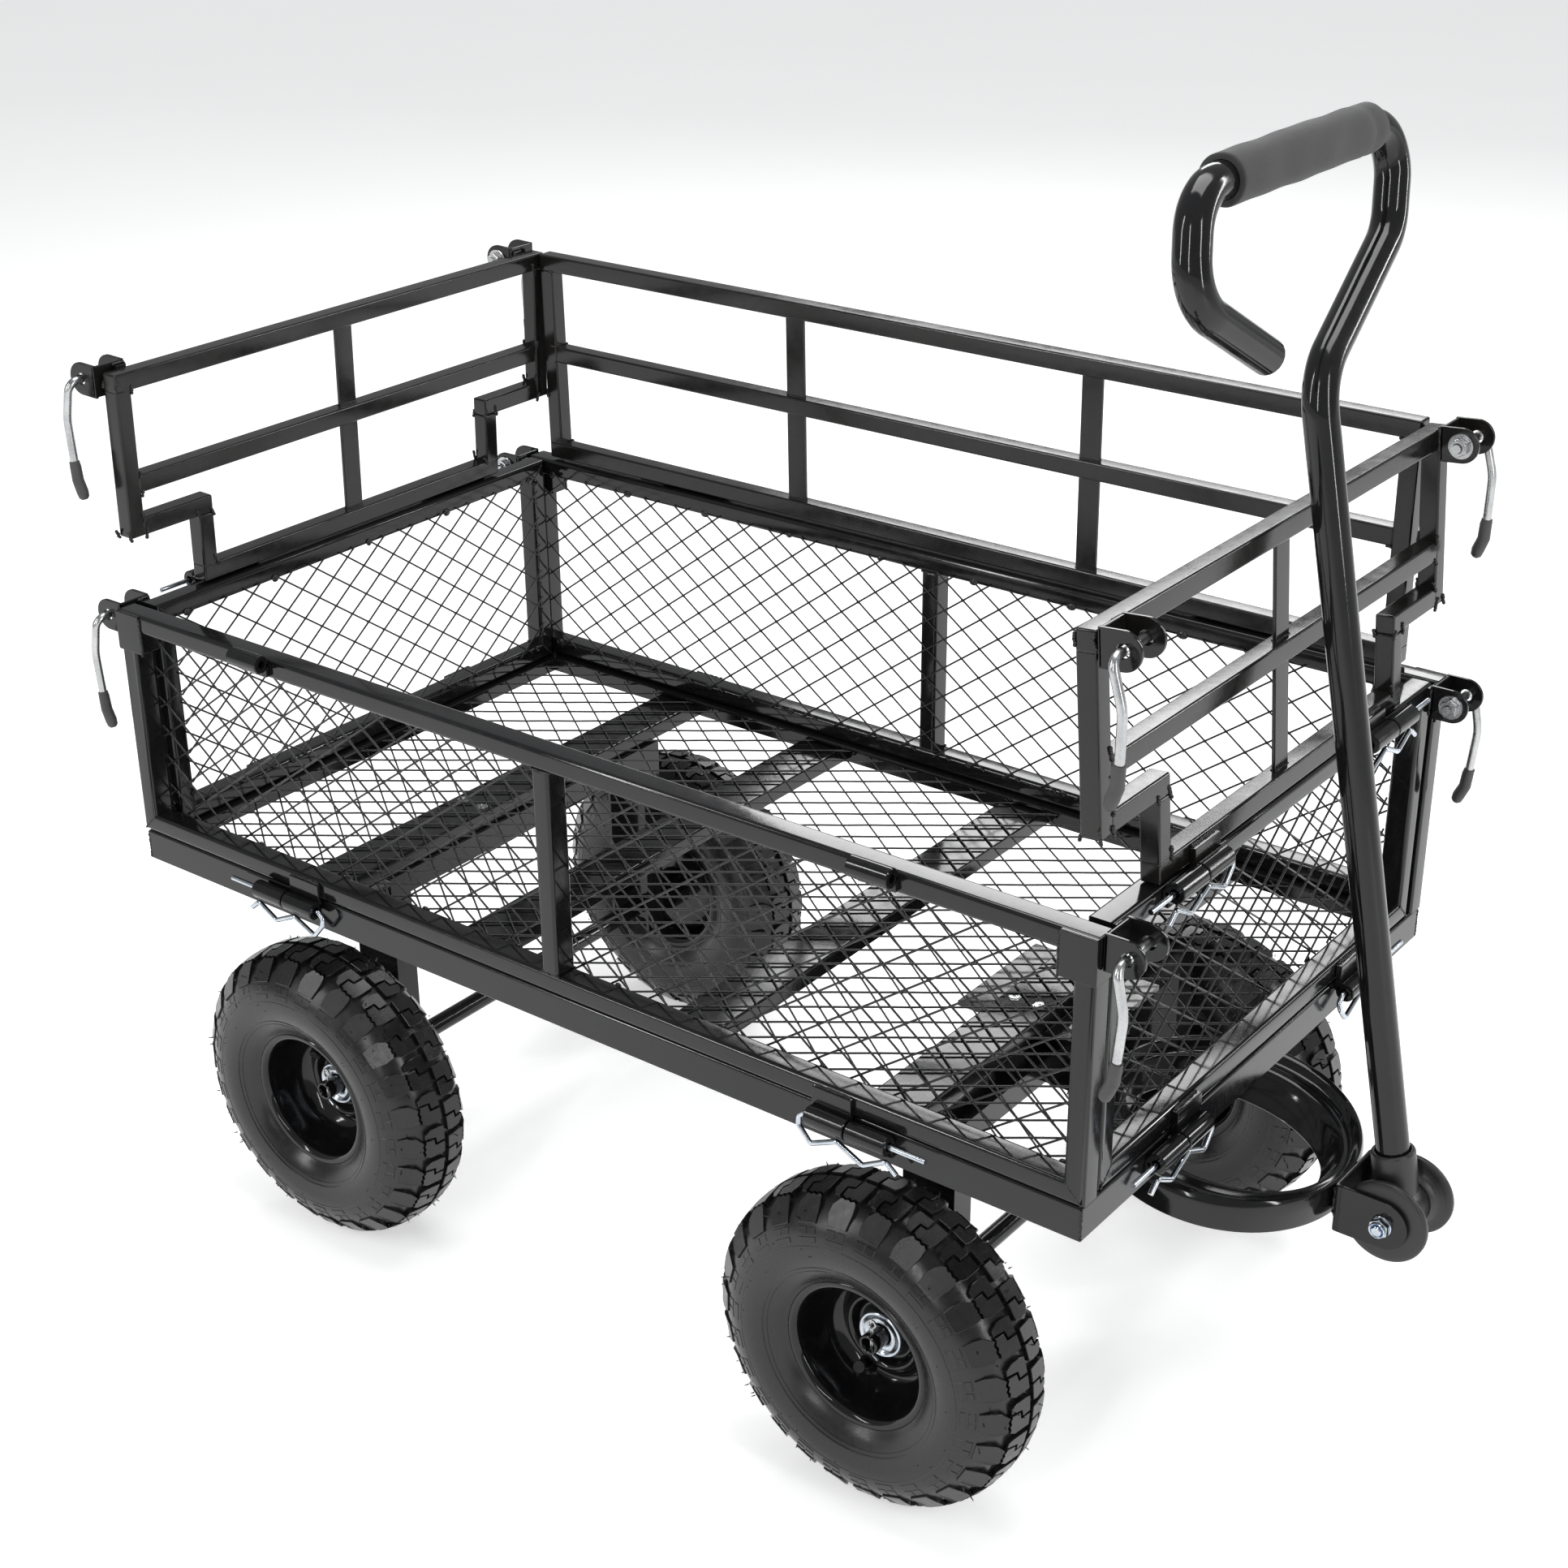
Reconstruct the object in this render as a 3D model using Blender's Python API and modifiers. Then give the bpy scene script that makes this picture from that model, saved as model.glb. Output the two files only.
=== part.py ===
"""Garden cart: steel mesh bed on four air tyres, drop sides, rack frames and a pull handle.

Metres, +Z up, +X towards the pull handle. The model is drawn about the middle of
the deck and then moved so that its bounding box stands centred on the origin.
"""

import math

import bmesh
import bpy
from mathutils import Matrix, Vector

# Deck
DECK_LENGTH = 0.914
DECK_WIDTH = 0.508
DECK_TOP = 0.326
FLANGE_HEIGHT = 0.027
FLANGE_WALL = 0.003
LEDGE_WIDTH = 0.026
STRIP_PLACES = (-0.280, -0.110, 0.105, 0.284)
STRIP_WIDTH = 0.042
STRIP_HEIGHT = 0.014
WIRE_SHEET = 0.002

# Drop sides
PANEL_HEIGHT = 0.198
PANEL_RAIL = 0.016
PANEL_DEPTH = 0.020
PANEL_OVERHANG = 0.0015
END_PANEL_GAP = 0.001
TAB_HEIGHT = 0.034

# Rack frames
RACK_HEIGHT = 0.193
RACK_TUBE = 0.015
END_RACK_WIDTH = 0.492
NOTCH_RISE = 0.058
NOTCH_RUN = 0.070
MIDDLE_RAIL_RISE = 0.0935
POST_WIDTH = 0.019
POST_THICKNESS = 0.003
POST_SETBACK = 0.0045
SIDE_RACK_POSTS = (-0.147, 0.147)
RACK_LIFT = 0.0027
FRONT_RACK_LEAN = math.radians(4.5)
REAR_RACK_LEAN = math.radians(1.5)
SIDE_RACK_LEAN = math.radians(1.0)

# Barrel hinges and their R-clips
BARREL_RADIUS = 0.0075
BARREL_BORE = 0.0032
BARREL_LENGTH = 0.033
BARREL_SPACE = 0.0015
BARREL_STANDOFF = 0.0090
HINGE_DROP = 0.0065
SIDE_HINGE_PLACE = 0.278
END_HINGE_PLACE = 0.140
CLIP_WIRE = 0.0025
CLIP_TIP = 0.030

# Corner latches
EAR_RADIUS = 0.013
EAR_THICKNESS = 0.003
EAR_SPACING = 0.027
EAR_REACH = 0.0200
WEB_STANDOFF = 0.0037
LATCH_DROP = 0.0105
RACK_LATCH_DROP = 0.0080
ROD_RADIUS = 0.0033
LOCK_NUT_RADIUS = 0.0078
LEVER_DROP = 0.095
SLEEVE_LENGTH = 0.030
SLEEVE_RADIUS = 0.0048
LATCH_OUTBOARD = 0.2495

# Wheels
TYRE_RADIUS = 0.130
TYRE_WIDTH = 0.086
RIM_RADIUS = 0.0593
RIM_WIDTH = 0.0584
HUB_RADIUS = 0.0190
HUB_LENGTH = 0.052
HUB_RECESS = 0.0045
WHEEL_TRACK = 0.4636
FRONT_AXLE = 0.284
REAR_AXLE = -0.277
AXLE_RADIUS = 0.0080
AXLE_OVERHANG = 0.0140
RUNNING_GAP = 0.0003

# Axle brackets and steering
LEG_TRACK = 0.344
LEG_WIDTH = 0.045
LEG_DEPTH = 0.022
LEG_WALL = 0.003
LEG_BELOW_AXLE = 0.016
BOLSTER_TOP = 0.282
BOLSTER_HEIGHT = 0.020
KINGPIN_RADIUS = 0.0080
TURNTABLE_WIDTH = 0.110

# Draw ring and yoke
RING_CENTRE = 0.4316
RING_HEIGHT = 0.243
RING_OUTER = (0.0975, 0.1050)
RING_HOLE = (0.0740, 0.0560)
RING_DEPTH = 0.026
RING_PITCH = math.radians(8.0)
PIVOT = Vector((0.568, 0.0, 0.231))
YOKE_INSIDE = 0.0255
YOKE_WALL = 0.003
YOKE_HEIGHT = 0.040
YOKE_BACK = 0.034

# Handle
HANDLE_LEAN = math.radians(11.4)
TUBE_RADIUS = 0.0120
SOCKET_DISC = 0.0315
SOCKET_DISC_WIDTH = 0.0135
SOCKET_WALL = 0.0035
SOCKET_LENGTH = 0.046
TUBE_START = 0.019
STEM_LENGTH = 0.594
LOOP_SHOULDER = (0.118, 0.664)
LOOP_CORNERS = (-0.126, 0.145)
LOOP_ELBOW = (-0.146, 0.672)
LOOP_TAIL = (-0.061, 0.621)
GRIP_HEIGHT = 0.7335
GRIP_RADIUS = 0.0165
GRIP_ENDS = (-0.094, 0.1005)
BOLT_RADIUS = 0.0040

GAP = 0.0003
X, Y, Z = Vector((1, 0, 0)), Vector((0, 1, 0)), Vector((0, 0, 1))

# Heights and places that follow from the driving sizes
PANEL_BOTTOM = DECK_TOP + 0.0005
PANEL_TOP = PANEL_BOTTOM + PANEL_HEIGHT
RACK_BOTTOM = PANEL_TOP + RACK_LIFT
SIDE_FACE = DECK_WIDTH / 2 + PANEL_OVERHANG
END_FACE = DECK_LENGTH / 2
SIDE_LENGTH = DECK_LENGTH + 2 * PANEL_OVERHANG
END_SPAN = 2 * (SIDE_FACE - PANEL_DEPTH - GAP - WIRE_SHEET - END_PANEL_GAP)
DECK_HINGE_HEIGHT = DECK_TOP - HINGE_DROP
RACK_HINGE_HEIGHT = PANEL_TOP - HINGE_DROP + 0.005
LOWER_LATCH_HEIGHT = PANEL_TOP - LATCH_DROP
UPPER_LATCH_HEIGHT = RACK_BOTTOM + RACK_HEIGHT - RACK_LATCH_DROP


def clear_scene():
    for obj in list(bpy.data.objects):
        bpy.data.objects.remove(obj, do_unlink=True)


def new_collection(name):
    home = bpy.data.collections.new(name)
    bpy.context.scene.collection.children.link(home)
    return home


def material(name, colour, roughness, metallic):
    mat = bpy.data.materials.new(name)
    mat.use_nodes = True
    shader = mat.node_tree.nodes["Principled BSDF"]
    shader.inputs["Base Color"].default_value = (*colour, 1.0)
    shader.inputs["Roughness"].default_value = roughness
    shader.inputs["Metallic"].default_value = metallic
    return mat


clear_scene()
PARTS = new_collection("garden_cart")
TOOLS = new_collection("cutters")
PAINT = material("black_enamel", (0.010, 0.010, 0.011), 0.20, 0.0)
WIRE = material("black_wire", (0.014, 0.014, 0.015), 0.30, 0.0)
ZINC = material("bright_zinc", (0.62, 0.63, 0.64), 0.28, 1.0)
RUBBER = material("tyre_rubber", (0.022, 0.022, 0.023), 0.62, 0.0)
FOAM = material("grip_foam", (0.035, 0.035, 0.036), 0.90, 0.0)
PLASTIC = material("black_plastic", (0.018, 0.018, 0.019), 0.45, 0.0)


def keep(name, mesh, mat, home):
    obj = bpy.data.objects.new(name, mesh)
    mesh.materials.clear()
    mesh.materials.append(mat)
    (home or PARTS).objects.link(obj)
    if home is TOOLS:
        obj.hide_render = True
        obj.display_type = "WIRE"
    return obj


def from_bmesh(name, bm, mat, home):
    mesh = bpy.data.meshes.new(name)
    bm.to_mesh(mesh)
    bm.free()
    return keep(name, mesh, mat, home)


def box(name, low, high, mat=PAINT, home=None):
    bm = bmesh.new()
    bmesh.ops.create_cube(bm, size=1.0)
    low, high = Vector(low), Vector(high)
    bmesh.ops.scale(bm, vec=high - low, verts=bm.verts)
    bmesh.ops.translate(bm, vec=(low + high) / 2, verts=bm.verts)
    return from_bmesh(name, bm, mat, home)


def rod(name, start, end, radius, mat=PAINT, home=None, sides=16):
    start, end = Vector(start), Vector(end)
    run = end - start
    turn = Z.rotation_difference(run).to_matrix().to_4x4()
    bm = bmesh.new()
    bmesh.ops.create_cone(
        bm,
        cap_ends=True,
        segments=sides,
        radius1=radius,
        radius2=radius,
        depth=run.length,
        matrix=Matrix.Translation((start + end) / 2) @ turn,
    )
    return from_bmesh(name, bm, mat, home)


def solid_of(curve_obj, mat, home):
    """Turns a curve object into a closed mesh object with its caps welded on."""
    name = curve_obj.name
    curve_obj.name = name + "_curve"
    bpy.context.view_layer.update()
    evaluated = curve_obj.evaluated_get(bpy.context.evaluated_depsgraph_get())
    mesh = bpy.data.meshes.new_from_object(evaluated)
    mesh.transform(curve_obj.matrix_world)
    bpy.data.objects.remove(curve_obj, do_unlink=True)
    bm = bmesh.new()
    bm.from_mesh(mesh)
    bmesh.ops.remove_doubles(bm, verts=bm.verts, dist=0.00005)
    bmesh.ops.recalc_face_normals(bm, faces=bm.faces)
    bm.to_mesh(mesh)
    bm.free()
    mesh.name = name
    return keep(name, mesh, mat, home)


def plate(name, loops, low, high, across, mat=PAINT, home=None):
    """A flat outline, with holes, given its thickness from low to high along an axis."""
    curve = bpy.data.curves.new(name, "CURVE")
    curve.dimensions = "2D"
    curve.fill_mode = "BOTH"
    curve.extrude = (high - low) / 2
    for loop in loops:
        spline = curve.splines.new("POLY")
        spline.points.add(len(loop) - 1)
        for point, (u, v) in zip(spline.points, loop):
            point.co = (u, v, 0.0, 1.0)
        spline.use_cyclic_u = True
    obj = bpy.data.objects.new(name, curve)
    TOOLS.objects.link(obj)
    sides = {"X": (Y, Z, X), "Y": (X, Z, -Y), "Z": (X, Y, Z)}[across]
    middle = {"X": X, "Y": Y, "Z": Z}[across] * (low + high) / 2
    obj.matrix_world = Matrix.Translation(middle) @ Matrix(sides).transposed().to_4x4()
    return solid_of(obj, mat, home)


def tube(name, points, radius, mat=PAINT, home=None, resolution=2, swell=None):
    curve = bpy.data.curves.new(name, "CURVE")
    curve.dimensions = "3D"
    curve.bevel_depth = radius
    curve.bevel_resolution = resolution
    curve.use_fill_caps = True
    spline = curve.splines.new("POLY")
    spline.points.add(len(points) - 1)
    for index, (point, place) in enumerate(zip(spline.points, points)):
        point.co = (*place, 1.0)
        point.radius = swell[index] if swell else 1.0
    obj = bpy.data.objects.new(name, curve)
    TOOLS.objects.link(obj)
    return solid_of(obj, mat, home)


def turned(name, profile, centre, axis, mat=PAINT, home=None, steps=24):
    """A closed profile of (radius, height) points turned about an axis."""
    pairs = zip(profile, profile[1:] + profile[:1])
    if sum(a[0] * b[1] - b[0] * a[1] for a, b in pairs) > 0:
        profile = profile[::-1]
    bm = bmesh.new()
    verts = [bm.verts.new((radius, 0.0, height)) for radius, height in profile]
    for first, second in zip(verts, verts[1:] + verts[:1]):
        bm.edges.new((first, second))
    obj = from_bmesh(name, bm, mat, home)
    screw = obj.modifiers.new("turn", "SCREW")
    screw.steps = steps
    screw.render_steps = steps
    screw.use_merge_vertices = True
    screw.merge_threshold = 0.00005
    obj.rotation_mode = "QUATERNION"
    obj.rotation_quaternion = Z.rotation_difference(axis)
    obj.location = centre
    return obj


def combine(obj, others, operation):
    for other in others:
        modifier = obj.modifiers.new(operation.lower(), "BOOLEAN")
        modifier.operation = operation
        modifier.object = other


def weld(obj, *others):
    combine(obj, others, "UNION")


def cut(obj, *others):
    combine(obj, others, "DIFFERENCE")


def hexagon_nut(name, start, end, radius, bolt_radius):
    start, end = Vector(start), Vector(end)
    nut = rod(name, start, end, radius, ZINC, None, sides=6)
    past = (end - start) * 0.5
    cut(nut, rod(name + "_bore", start - past, end + past, bolt_radius + GAP, ZINC, TOOLS))
    return nut


def rectangle(left, bottom, right, top):
    return [(left, bottom), (right, bottom), (right, top), (left, top)]


def arc(centre, radius, start, stop, steps):
    turn = (stop - start) / steps
    return [
        (
            centre[0] + radius * math.cos(start + turn * i),
            centre[1] + radius * math.sin(start + turn * i),
        )
        for i in range(steps + 1)
    ]


def rounded(points, radii, steps=6):
    """The points joined by straight lines, with each inner corner an arc."""
    points = [Vector(p) for p in points]
    out = [points[0]]
    for before, corner, after, radius in zip(points, points[1:], points[2:], radii):
        back = (before - corner).normalized()
        ahead = (after - corner).normalized()
        half = back.angle(ahead) / 2
        reach = radius / math.tan(half)
        middle = corner + (back + ahead).normalized() * radius / math.sin(half)
        start = corner + back * reach - middle
        turn = start.rotation_difference(corner + ahead * reach - middle)
        for i in range(steps + 1):
            out.append(middle + Matrix.Rotation(turn.angle * i / steps, 3, turn.axis) @ start)
    out.append(points[-1])
    return out


# Bodies: each has an empty on its joint's axis, and what moves with it hangs from that
ANCHORS = {}


def body(name, anchor, parent=None):
    empty = bpy.data.objects.new(name, None)
    empty.empty_display_size = 0.03
    PARTS.objects.link(empty)
    empty.parent = parent
    start = ANCHORS[parent.name] if parent else Vector((0, 0, 0))
    empty.location = Vector(anchor) - start
    ANCHORS[name] = Vector(anchor)
    return empty


def attach(owner, *objects):
    for obj in objects:
        obj.parent = owner
        obj.location = obj.location - ANCHORS[owner.name]
        for modifier in obj.modifiers:
            if modifier.type == "BOOLEAN" and modifier.object.parent is None:
                attach(owner, modifier.object)


SIDES = {"near": -1, "far": 1}
ENDS = {"rear": -1, "front": 1}


def side_hinge_y(sign):
    return sign * (DECK_WIDTH / 2 + BARREL_STANDOFF)


def end_hinge_x(sign):
    return sign * (END_FACE + BARREL_STANDOFF)


cart = body("cart", (0, 0, 0))
steering = body("steering", (FRONT_AXLE, 0, BOLSTER_TOP), cart)
handle = body("handle", PIVOT, steering)
side_panels = {
    name: body(name + "_side", (0, side_hinge_y(sign), DECK_HINGE_HEIGHT), cart)
    for name, sign in SIDES.items()
}
end_panels = {
    name: body(name + "_end", (end_hinge_x(sign), 0, DECK_HINGE_HEIGHT), cart)
    for name, sign in ENDS.items()
}
side_rack = body("far_rack", (0, side_hinge_y(1), RACK_HINGE_HEIGHT), side_panels["far"])
end_racks = {
    name: body(name + "_rack", (end_hinge_x(sign), 0, RACK_HINGE_HEIGHT), end_panels[name])
    for name, sign in ENDS.items()
}


def barrel(name, low, high, across, height, along_x, face, edge, reach):
    """A barrel with its weld strap, which lies on the member's outer face from its edge
    to the height called reach."""
    middle = (low + high) / 2
    half = (high - low) / 2
    sign = 1 if across > 0 else -1
    ring = [
        (BARREL_BORE, -half),
        (BARREL_BORE, half),
        (BARREL_RADIUS, half),
        (BARREL_RADIUS, -half),
    ]
    centre, axis = ((middle, across, height), X) if along_x else ((across, middle, height), Y)
    sleeve = turned(name, ring, centre, axis, PAINT, TOOLS, steps=10)
    out = abs(across) - BARREL_BORE - 0.0015
    clear = (SIDE_FACE if along_x else END_FACE) + 0.0004
    sunk = abs(face) - 0.001
    bite = edge + (0.001 if reach > edge else -0.001)
    profile = [
        (clear, height), (out, height), (out, reach), (sunk, reach), (sunk, bite), (clear, bite),
    ]
    profile = [(sign * u, v) for u, v in profile]
    strap = plate(name + "_strap", [profile], low, high, "X" if along_x else "Y", PAINT, TOOLS)
    return sleeve, strap


def hinge_places(place):
    return (-place, place)


def member_barrels(name, place, across, height, along_x, face, edge, reach, upper):
    """Both barrels that one member carries, as pieces to weld on."""
    out = []
    for spot in hinge_places(place):
        side = 1 if spot > 0 else -1
        inner = abs(spot) - BARREL_SPACE / 2 - BARREL_LENGTH if upper else abs(spot) + BARREL_SPACE / 2
        ends = sorted((side * inner, side * (inner + BARREL_LENGTH)))
        label = f"{name}_barrel_{len(out)}"
        out += barrel(label, ends[0], ends[1], across, height, along_x, face, edge, reach)
    return out


def deck():
    half_x, half_y = DECK_LENGTH / 2, DECK_WIDTH / 2
    bottom = DECK_TOP - FLANGE_HEIGHT
    outer = rectangle(-half_x, -half_y, half_x, half_y)
    wall = rectangle(
        -half_x + FLANGE_WALL, -half_y + FLANGE_WALL, half_x - FLANGE_WALL, half_y - FLANGE_WALL
    )
    ledge = rectangle(
        -half_x + LEDGE_WIDTH, -half_y + LEDGE_WIDTH, half_x - LEDGE_WIDTH, half_y - LEDGE_WIDTH
    )
    frame = plate("deck_frame", [outer, wall], bottom, DECK_TOP, "Z")
    flat = plate(
        "deck_ledge", [outer, ledge], DECK_TOP - FLANGE_WALL, DECK_TOP, "Z", PAINT, TOOLS
    )
    pieces = [flat]
    strip_top = DECK_TOP - FLANGE_WALL - 2 * GAP - WIRE_SHEET
    overlap = FLANGE_WALL / 2
    for number, place in enumerate(STRIP_PLACES):
        half = STRIP_WIDTH / 2
        profile = [
            (place - half, strip_top - STRIP_HEIGHT),
            (place - half, strip_top),
            (place + half, strip_top),
            (place + half, strip_top - STRIP_HEIGHT),
            (place + half - FLANGE_WALL, strip_top - STRIP_HEIGHT),
            (place + half - FLANGE_WALL, strip_top - FLANGE_WALL),
            (place - half + FLANGE_WALL, strip_top - FLANGE_WALL),
            (place - half + FLANGE_WALL, strip_top - STRIP_HEIGHT),
        ]
        reach = half_y - FLANGE_WALL + overlap
        pieces.append(plate(f"strip_{number}", [profile], -reach, reach, "Y", PAINT, TOOLS))
    for name, sign in SIDES.items():
        pieces += member_barrels(
            "deck_" + name, SIDE_HINGE_PLACE, side_hinge_y(sign), DECK_HINGE_HEIGHT, True,
            sign * half_y, DECK_HINGE_HEIGHT, DECK_HINGE_HEIGHT - 0.012, False,
        )
    for name, sign in ENDS.items():
        pieces += member_barrels(
            "deck_" + name, END_HINGE_PLACE, end_hinge_x(sign), DECK_HINGE_HEIGHT, False,
            sign * half_x, DECK_HINGE_HEIGHT, DECK_HINGE_HEIGHT - 0.012, False,
        )
    weld(frame, *pieces)
    inset = FLANGE_WALL + GAP
    top = DECK_TOP - FLANGE_WALL - GAP
    floor = box(
        "floor_mesh",
        (-half_x + inset, -half_y + inset, top - WIRE_SHEET),
        (half_x - inset, half_y - inset, top),
        WIRE,
    )
    attach(cart, frame, floor)


def panel_loops(span, posts, rail, bottom, top):
    """The outline of a panel frame and one opening between each two posts."""
    starts = [-span / 2 + rail] + [p + rail / 2 for p in posts]
    ends = [p - rail / 2 for p in posts] + [span / 2 - rail]
    loops = [rectangle(-span / 2, bottom, span / 2, top)]
    for start, end in zip(starts, ends):
        loops.append(rectangle(start, bottom + rail, end, top - rail))
    return loops


def latch_bracket(name, sign, corner, height):
    """A channel with two round ears, standing out from an end member near its corner."""
    outboard = LATCH_OUTBOARD + EAR_THICKNESS / 2
    inboard = LATCH_OUTBOARD - EAR_SPACING - EAR_THICKNESS / 2
    back = END_FACE + WEB_STANDOFF
    reach = END_FACE + EAR_REACH

    def block(label, x_range, y_range, rise):
        x_low, x_high = sorted(sign * x for x in x_range)
        y_low, y_high = sorted(corner * y for y in y_range)
        return box(
            name + label, (x_low, y_low, height - rise), (x_high, y_high, height + rise), PAINT, TOOLS
        )

    pieces = [
        block("_pad", (END_FACE - 0.0005, back + 0.001), (inboard, END_SPAN / 2), EAR_RADIUS * 0.75),
        block("_bridge", (back, back + EAR_THICKNESS), (inboard, outboard), EAR_RADIUS * 0.98),
    ]
    nose = arc((reach, height), EAR_RADIUS, -math.pi / 2, math.pi / 2, 6)
    heel = back + EAR_THICKNESS / 2
    outline = nose + [(heel, height + EAR_RADIUS), (heel, height - EAR_RADIUS)]
    outline = [(sign * u, v) for u, v in outline]
    for number in range(2):
        y = corner * (LATCH_OUTBOARD - number * EAR_SPACING)
        pieces.append(
            plate(
                f"{name}_ear_{number}", [outline], y - EAR_THICKNESS / 2, y + EAR_THICKNESS / 2,
                "Y", PAINT, TOOLS,
            )
        )
    hole = rod(
        name + "_hole",
        (sign * reach, corner * (inboard - 0.005), height),
        (sign * reach, corner * (outboard + 0.005), height),
        ROD_RADIUS + RUNNING_GAP,
        PAINT,
        TOOLS,
        sides=10,
    )
    return pieces, hole


def build_side_panel(name, sign):
    owner = side_panels[name]
    bottom, top = PANEL_BOTTOM, PANEL_TOP
    inner, outer = sign * (SIDE_FACE - PANEL_DEPTH), sign * SIDE_FACE
    low, high = sorted((inner, outer))
    loops = panel_loops(SIDE_LENGTH, [0.0], PANEL_RAIL, bottom, top)
    frame = plate(name + "_panel_frame", loops, low, high, "Y")
    pieces = member_barrels(
        name + "_panel_low", SIDE_HINGE_PLACE, side_hinge_y(sign), DECK_HINGE_HEIGHT, True,
        outer, bottom, bottom + 0.014, True,
    )
    pieces += member_barrels(
        name + "_panel_top", SIDE_HINGE_PLACE, side_hinge_y(sign), RACK_HINGE_HEIGHT, True,
        outer, RACK_HINGE_HEIGHT, RACK_HINGE_HEIGHT - 0.012, False,
    )
    for end in (-1, 1):
        face = end * SIDE_LENGTH / 2
        first, last = sorted((face - end * 0.0005, face + end * 0.0018))
        pieces.append(
            box(
                f"{name}_tab_{end}", (first, low, top - TAB_HEIGHT), (last, high, top),
                PAINT, TOOLS,
            )
        )
    weld(frame, *pieces)
    back = sign * (SIDE_FACE - PANEL_DEPTH - GAP)
    front, rear = sorted((back, back - sign * WIRE_SHEET))
    half = SIDE_LENGTH / 2 - PANEL_RAIL / 2
    overlap = PANEL_RAIL / 2
    infill = box(
        name + "_panel_mesh", (-half, front, bottom + overlap), (half, rear, top - overlap), WIRE
    )
    attach(owner, frame, infill)


def build_end_panel(name, sign):
    owner = end_panels[name]
    bottom, top = PANEL_BOTTOM, PANEL_TOP
    low, high = sorted((sign * END_FACE, sign * (END_FACE - PANEL_DEPTH)))
    loops = panel_loops(END_SPAN, [], PANEL_RAIL, bottom, top)
    frame = plate(name + "_panel_frame", loops, low, high, "X")
    pieces = member_barrels(
        name + "_panel_low", END_HINGE_PLACE, end_hinge_x(sign), DECK_HINGE_HEIGHT, False,
        sign * END_FACE, bottom, bottom + 0.014, True,
    )
    pieces += member_barrels(
        name + "_panel_top", END_HINGE_PLACE, end_hinge_x(sign), RACK_HINGE_HEIGHT, False,
        sign * END_FACE, RACK_HINGE_HEIGHT, RACK_HINGE_HEIGHT - 0.012, False,
    )
    holes = []
    for corner in (-1, 1):
        bracket, hole = latch_bracket(
            f"{name}_low_latch_{corner}", sign, corner, LOWER_LATCH_HEIGHT
        )
        pieces += bracket
        holes.append(hole)
    weld(frame, *pieces)
    cut(frame, *holes)
    back = sign * (END_FACE - PANEL_DEPTH - GAP)
    first, last = sorted((back, back - sign * WIRE_SHEET))
    half = END_SPAN / 2 - PANEL_RAIL / 2
    overlap = PANEL_RAIL / 2
    infill = box(
        name + "_panel_mesh", (first, -half, bottom + overlap), (last, half, top - overlap), WIRE
    )
    attach(owner, frame, infill)


def lean(obj, hinge, axis, angle):
    """Tips a rack, with what is welded to it, about its hinge."""
    bpy.context.view_layer.update()
    turn = Matrix.Translation(hinge) @ Matrix.Rotation(angle, 4, axis) @ Matrix.Translation(-Vector(hinge))
    obj.matrix_world = turn @ obj.matrix_world
    for modifier in obj.modifiers:
        if modifier.type == "BOOLEAN":
            modifier.object.matrix_world = turn @ modifier.object.matrix_world


def post_spans(bottom, rail, top):
    """Where a flat rack post starts and stops, its ends sunk a little into the tubes."""
    sunk = 0.001
    return [
        (bottom + RACK_TUBE - sunk, rail + sunk),
        (rail + RACK_TUBE - sunk, top - RACK_TUBE + sunk),
    ]


def build_side_rack():
    bottom, top = RACK_BOTTOM, RACK_BOTTOM + RACK_HEIGHT
    rear_face = -END_FACE + RACK_TUBE + (RACK_HEIGHT + 0.01) * math.sin(REAR_RACK_LEAN) + 0.0015
    front_face = END_FACE - RACK_TUBE - (RACK_HEIGHT + 0.01) * math.sin(FRONT_RACK_LEAN) - 0.0015
    tube_size = RACK_TUBE
    rail = bottom + MIDDLE_RAIL_RISE
    start, end = rear_face + tube_size, front_face - tube_size
    loops = [
        rectangle(rear_face, bottom, front_face, top),
        rectangle(start, bottom + tube_size, end, rail),
        rectangle(start, rail + tube_size, end, top - tube_size),
    ]
    outer = SIDE_FACE - 0.0005
    rack = plate("far_rack_frame", loops, outer - tube_size, outer, "Y")
    face = outer - tube_size + POST_SETBACK
    spans = post_spans(bottom, rail, top)
    weld(
        rack,
        *[
            box(
                f"far_rack_post_{number}_{level}",
                (place - POST_WIDTH / 2, face, spans[level][0]),
                (place + POST_WIDTH / 2, face + POST_THICKNESS, spans[level][1]),
                PAINT, TOOLS,
            )
            for number, place in enumerate(SIDE_RACK_POSTS)
            for level in range(2)
        ],
        *member_barrels(
            "far_rack", SIDE_HINGE_PLACE, side_hinge_y(1), RACK_HINGE_HEIGHT, True,
            outer, bottom, bottom + 0.012, True,
        ),
    )
    lean(rack, (0, side_hinge_y(1), RACK_HINGE_HEIGHT), "X", SIDE_RACK_LEAN)
    attach(side_rack, rack)


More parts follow.
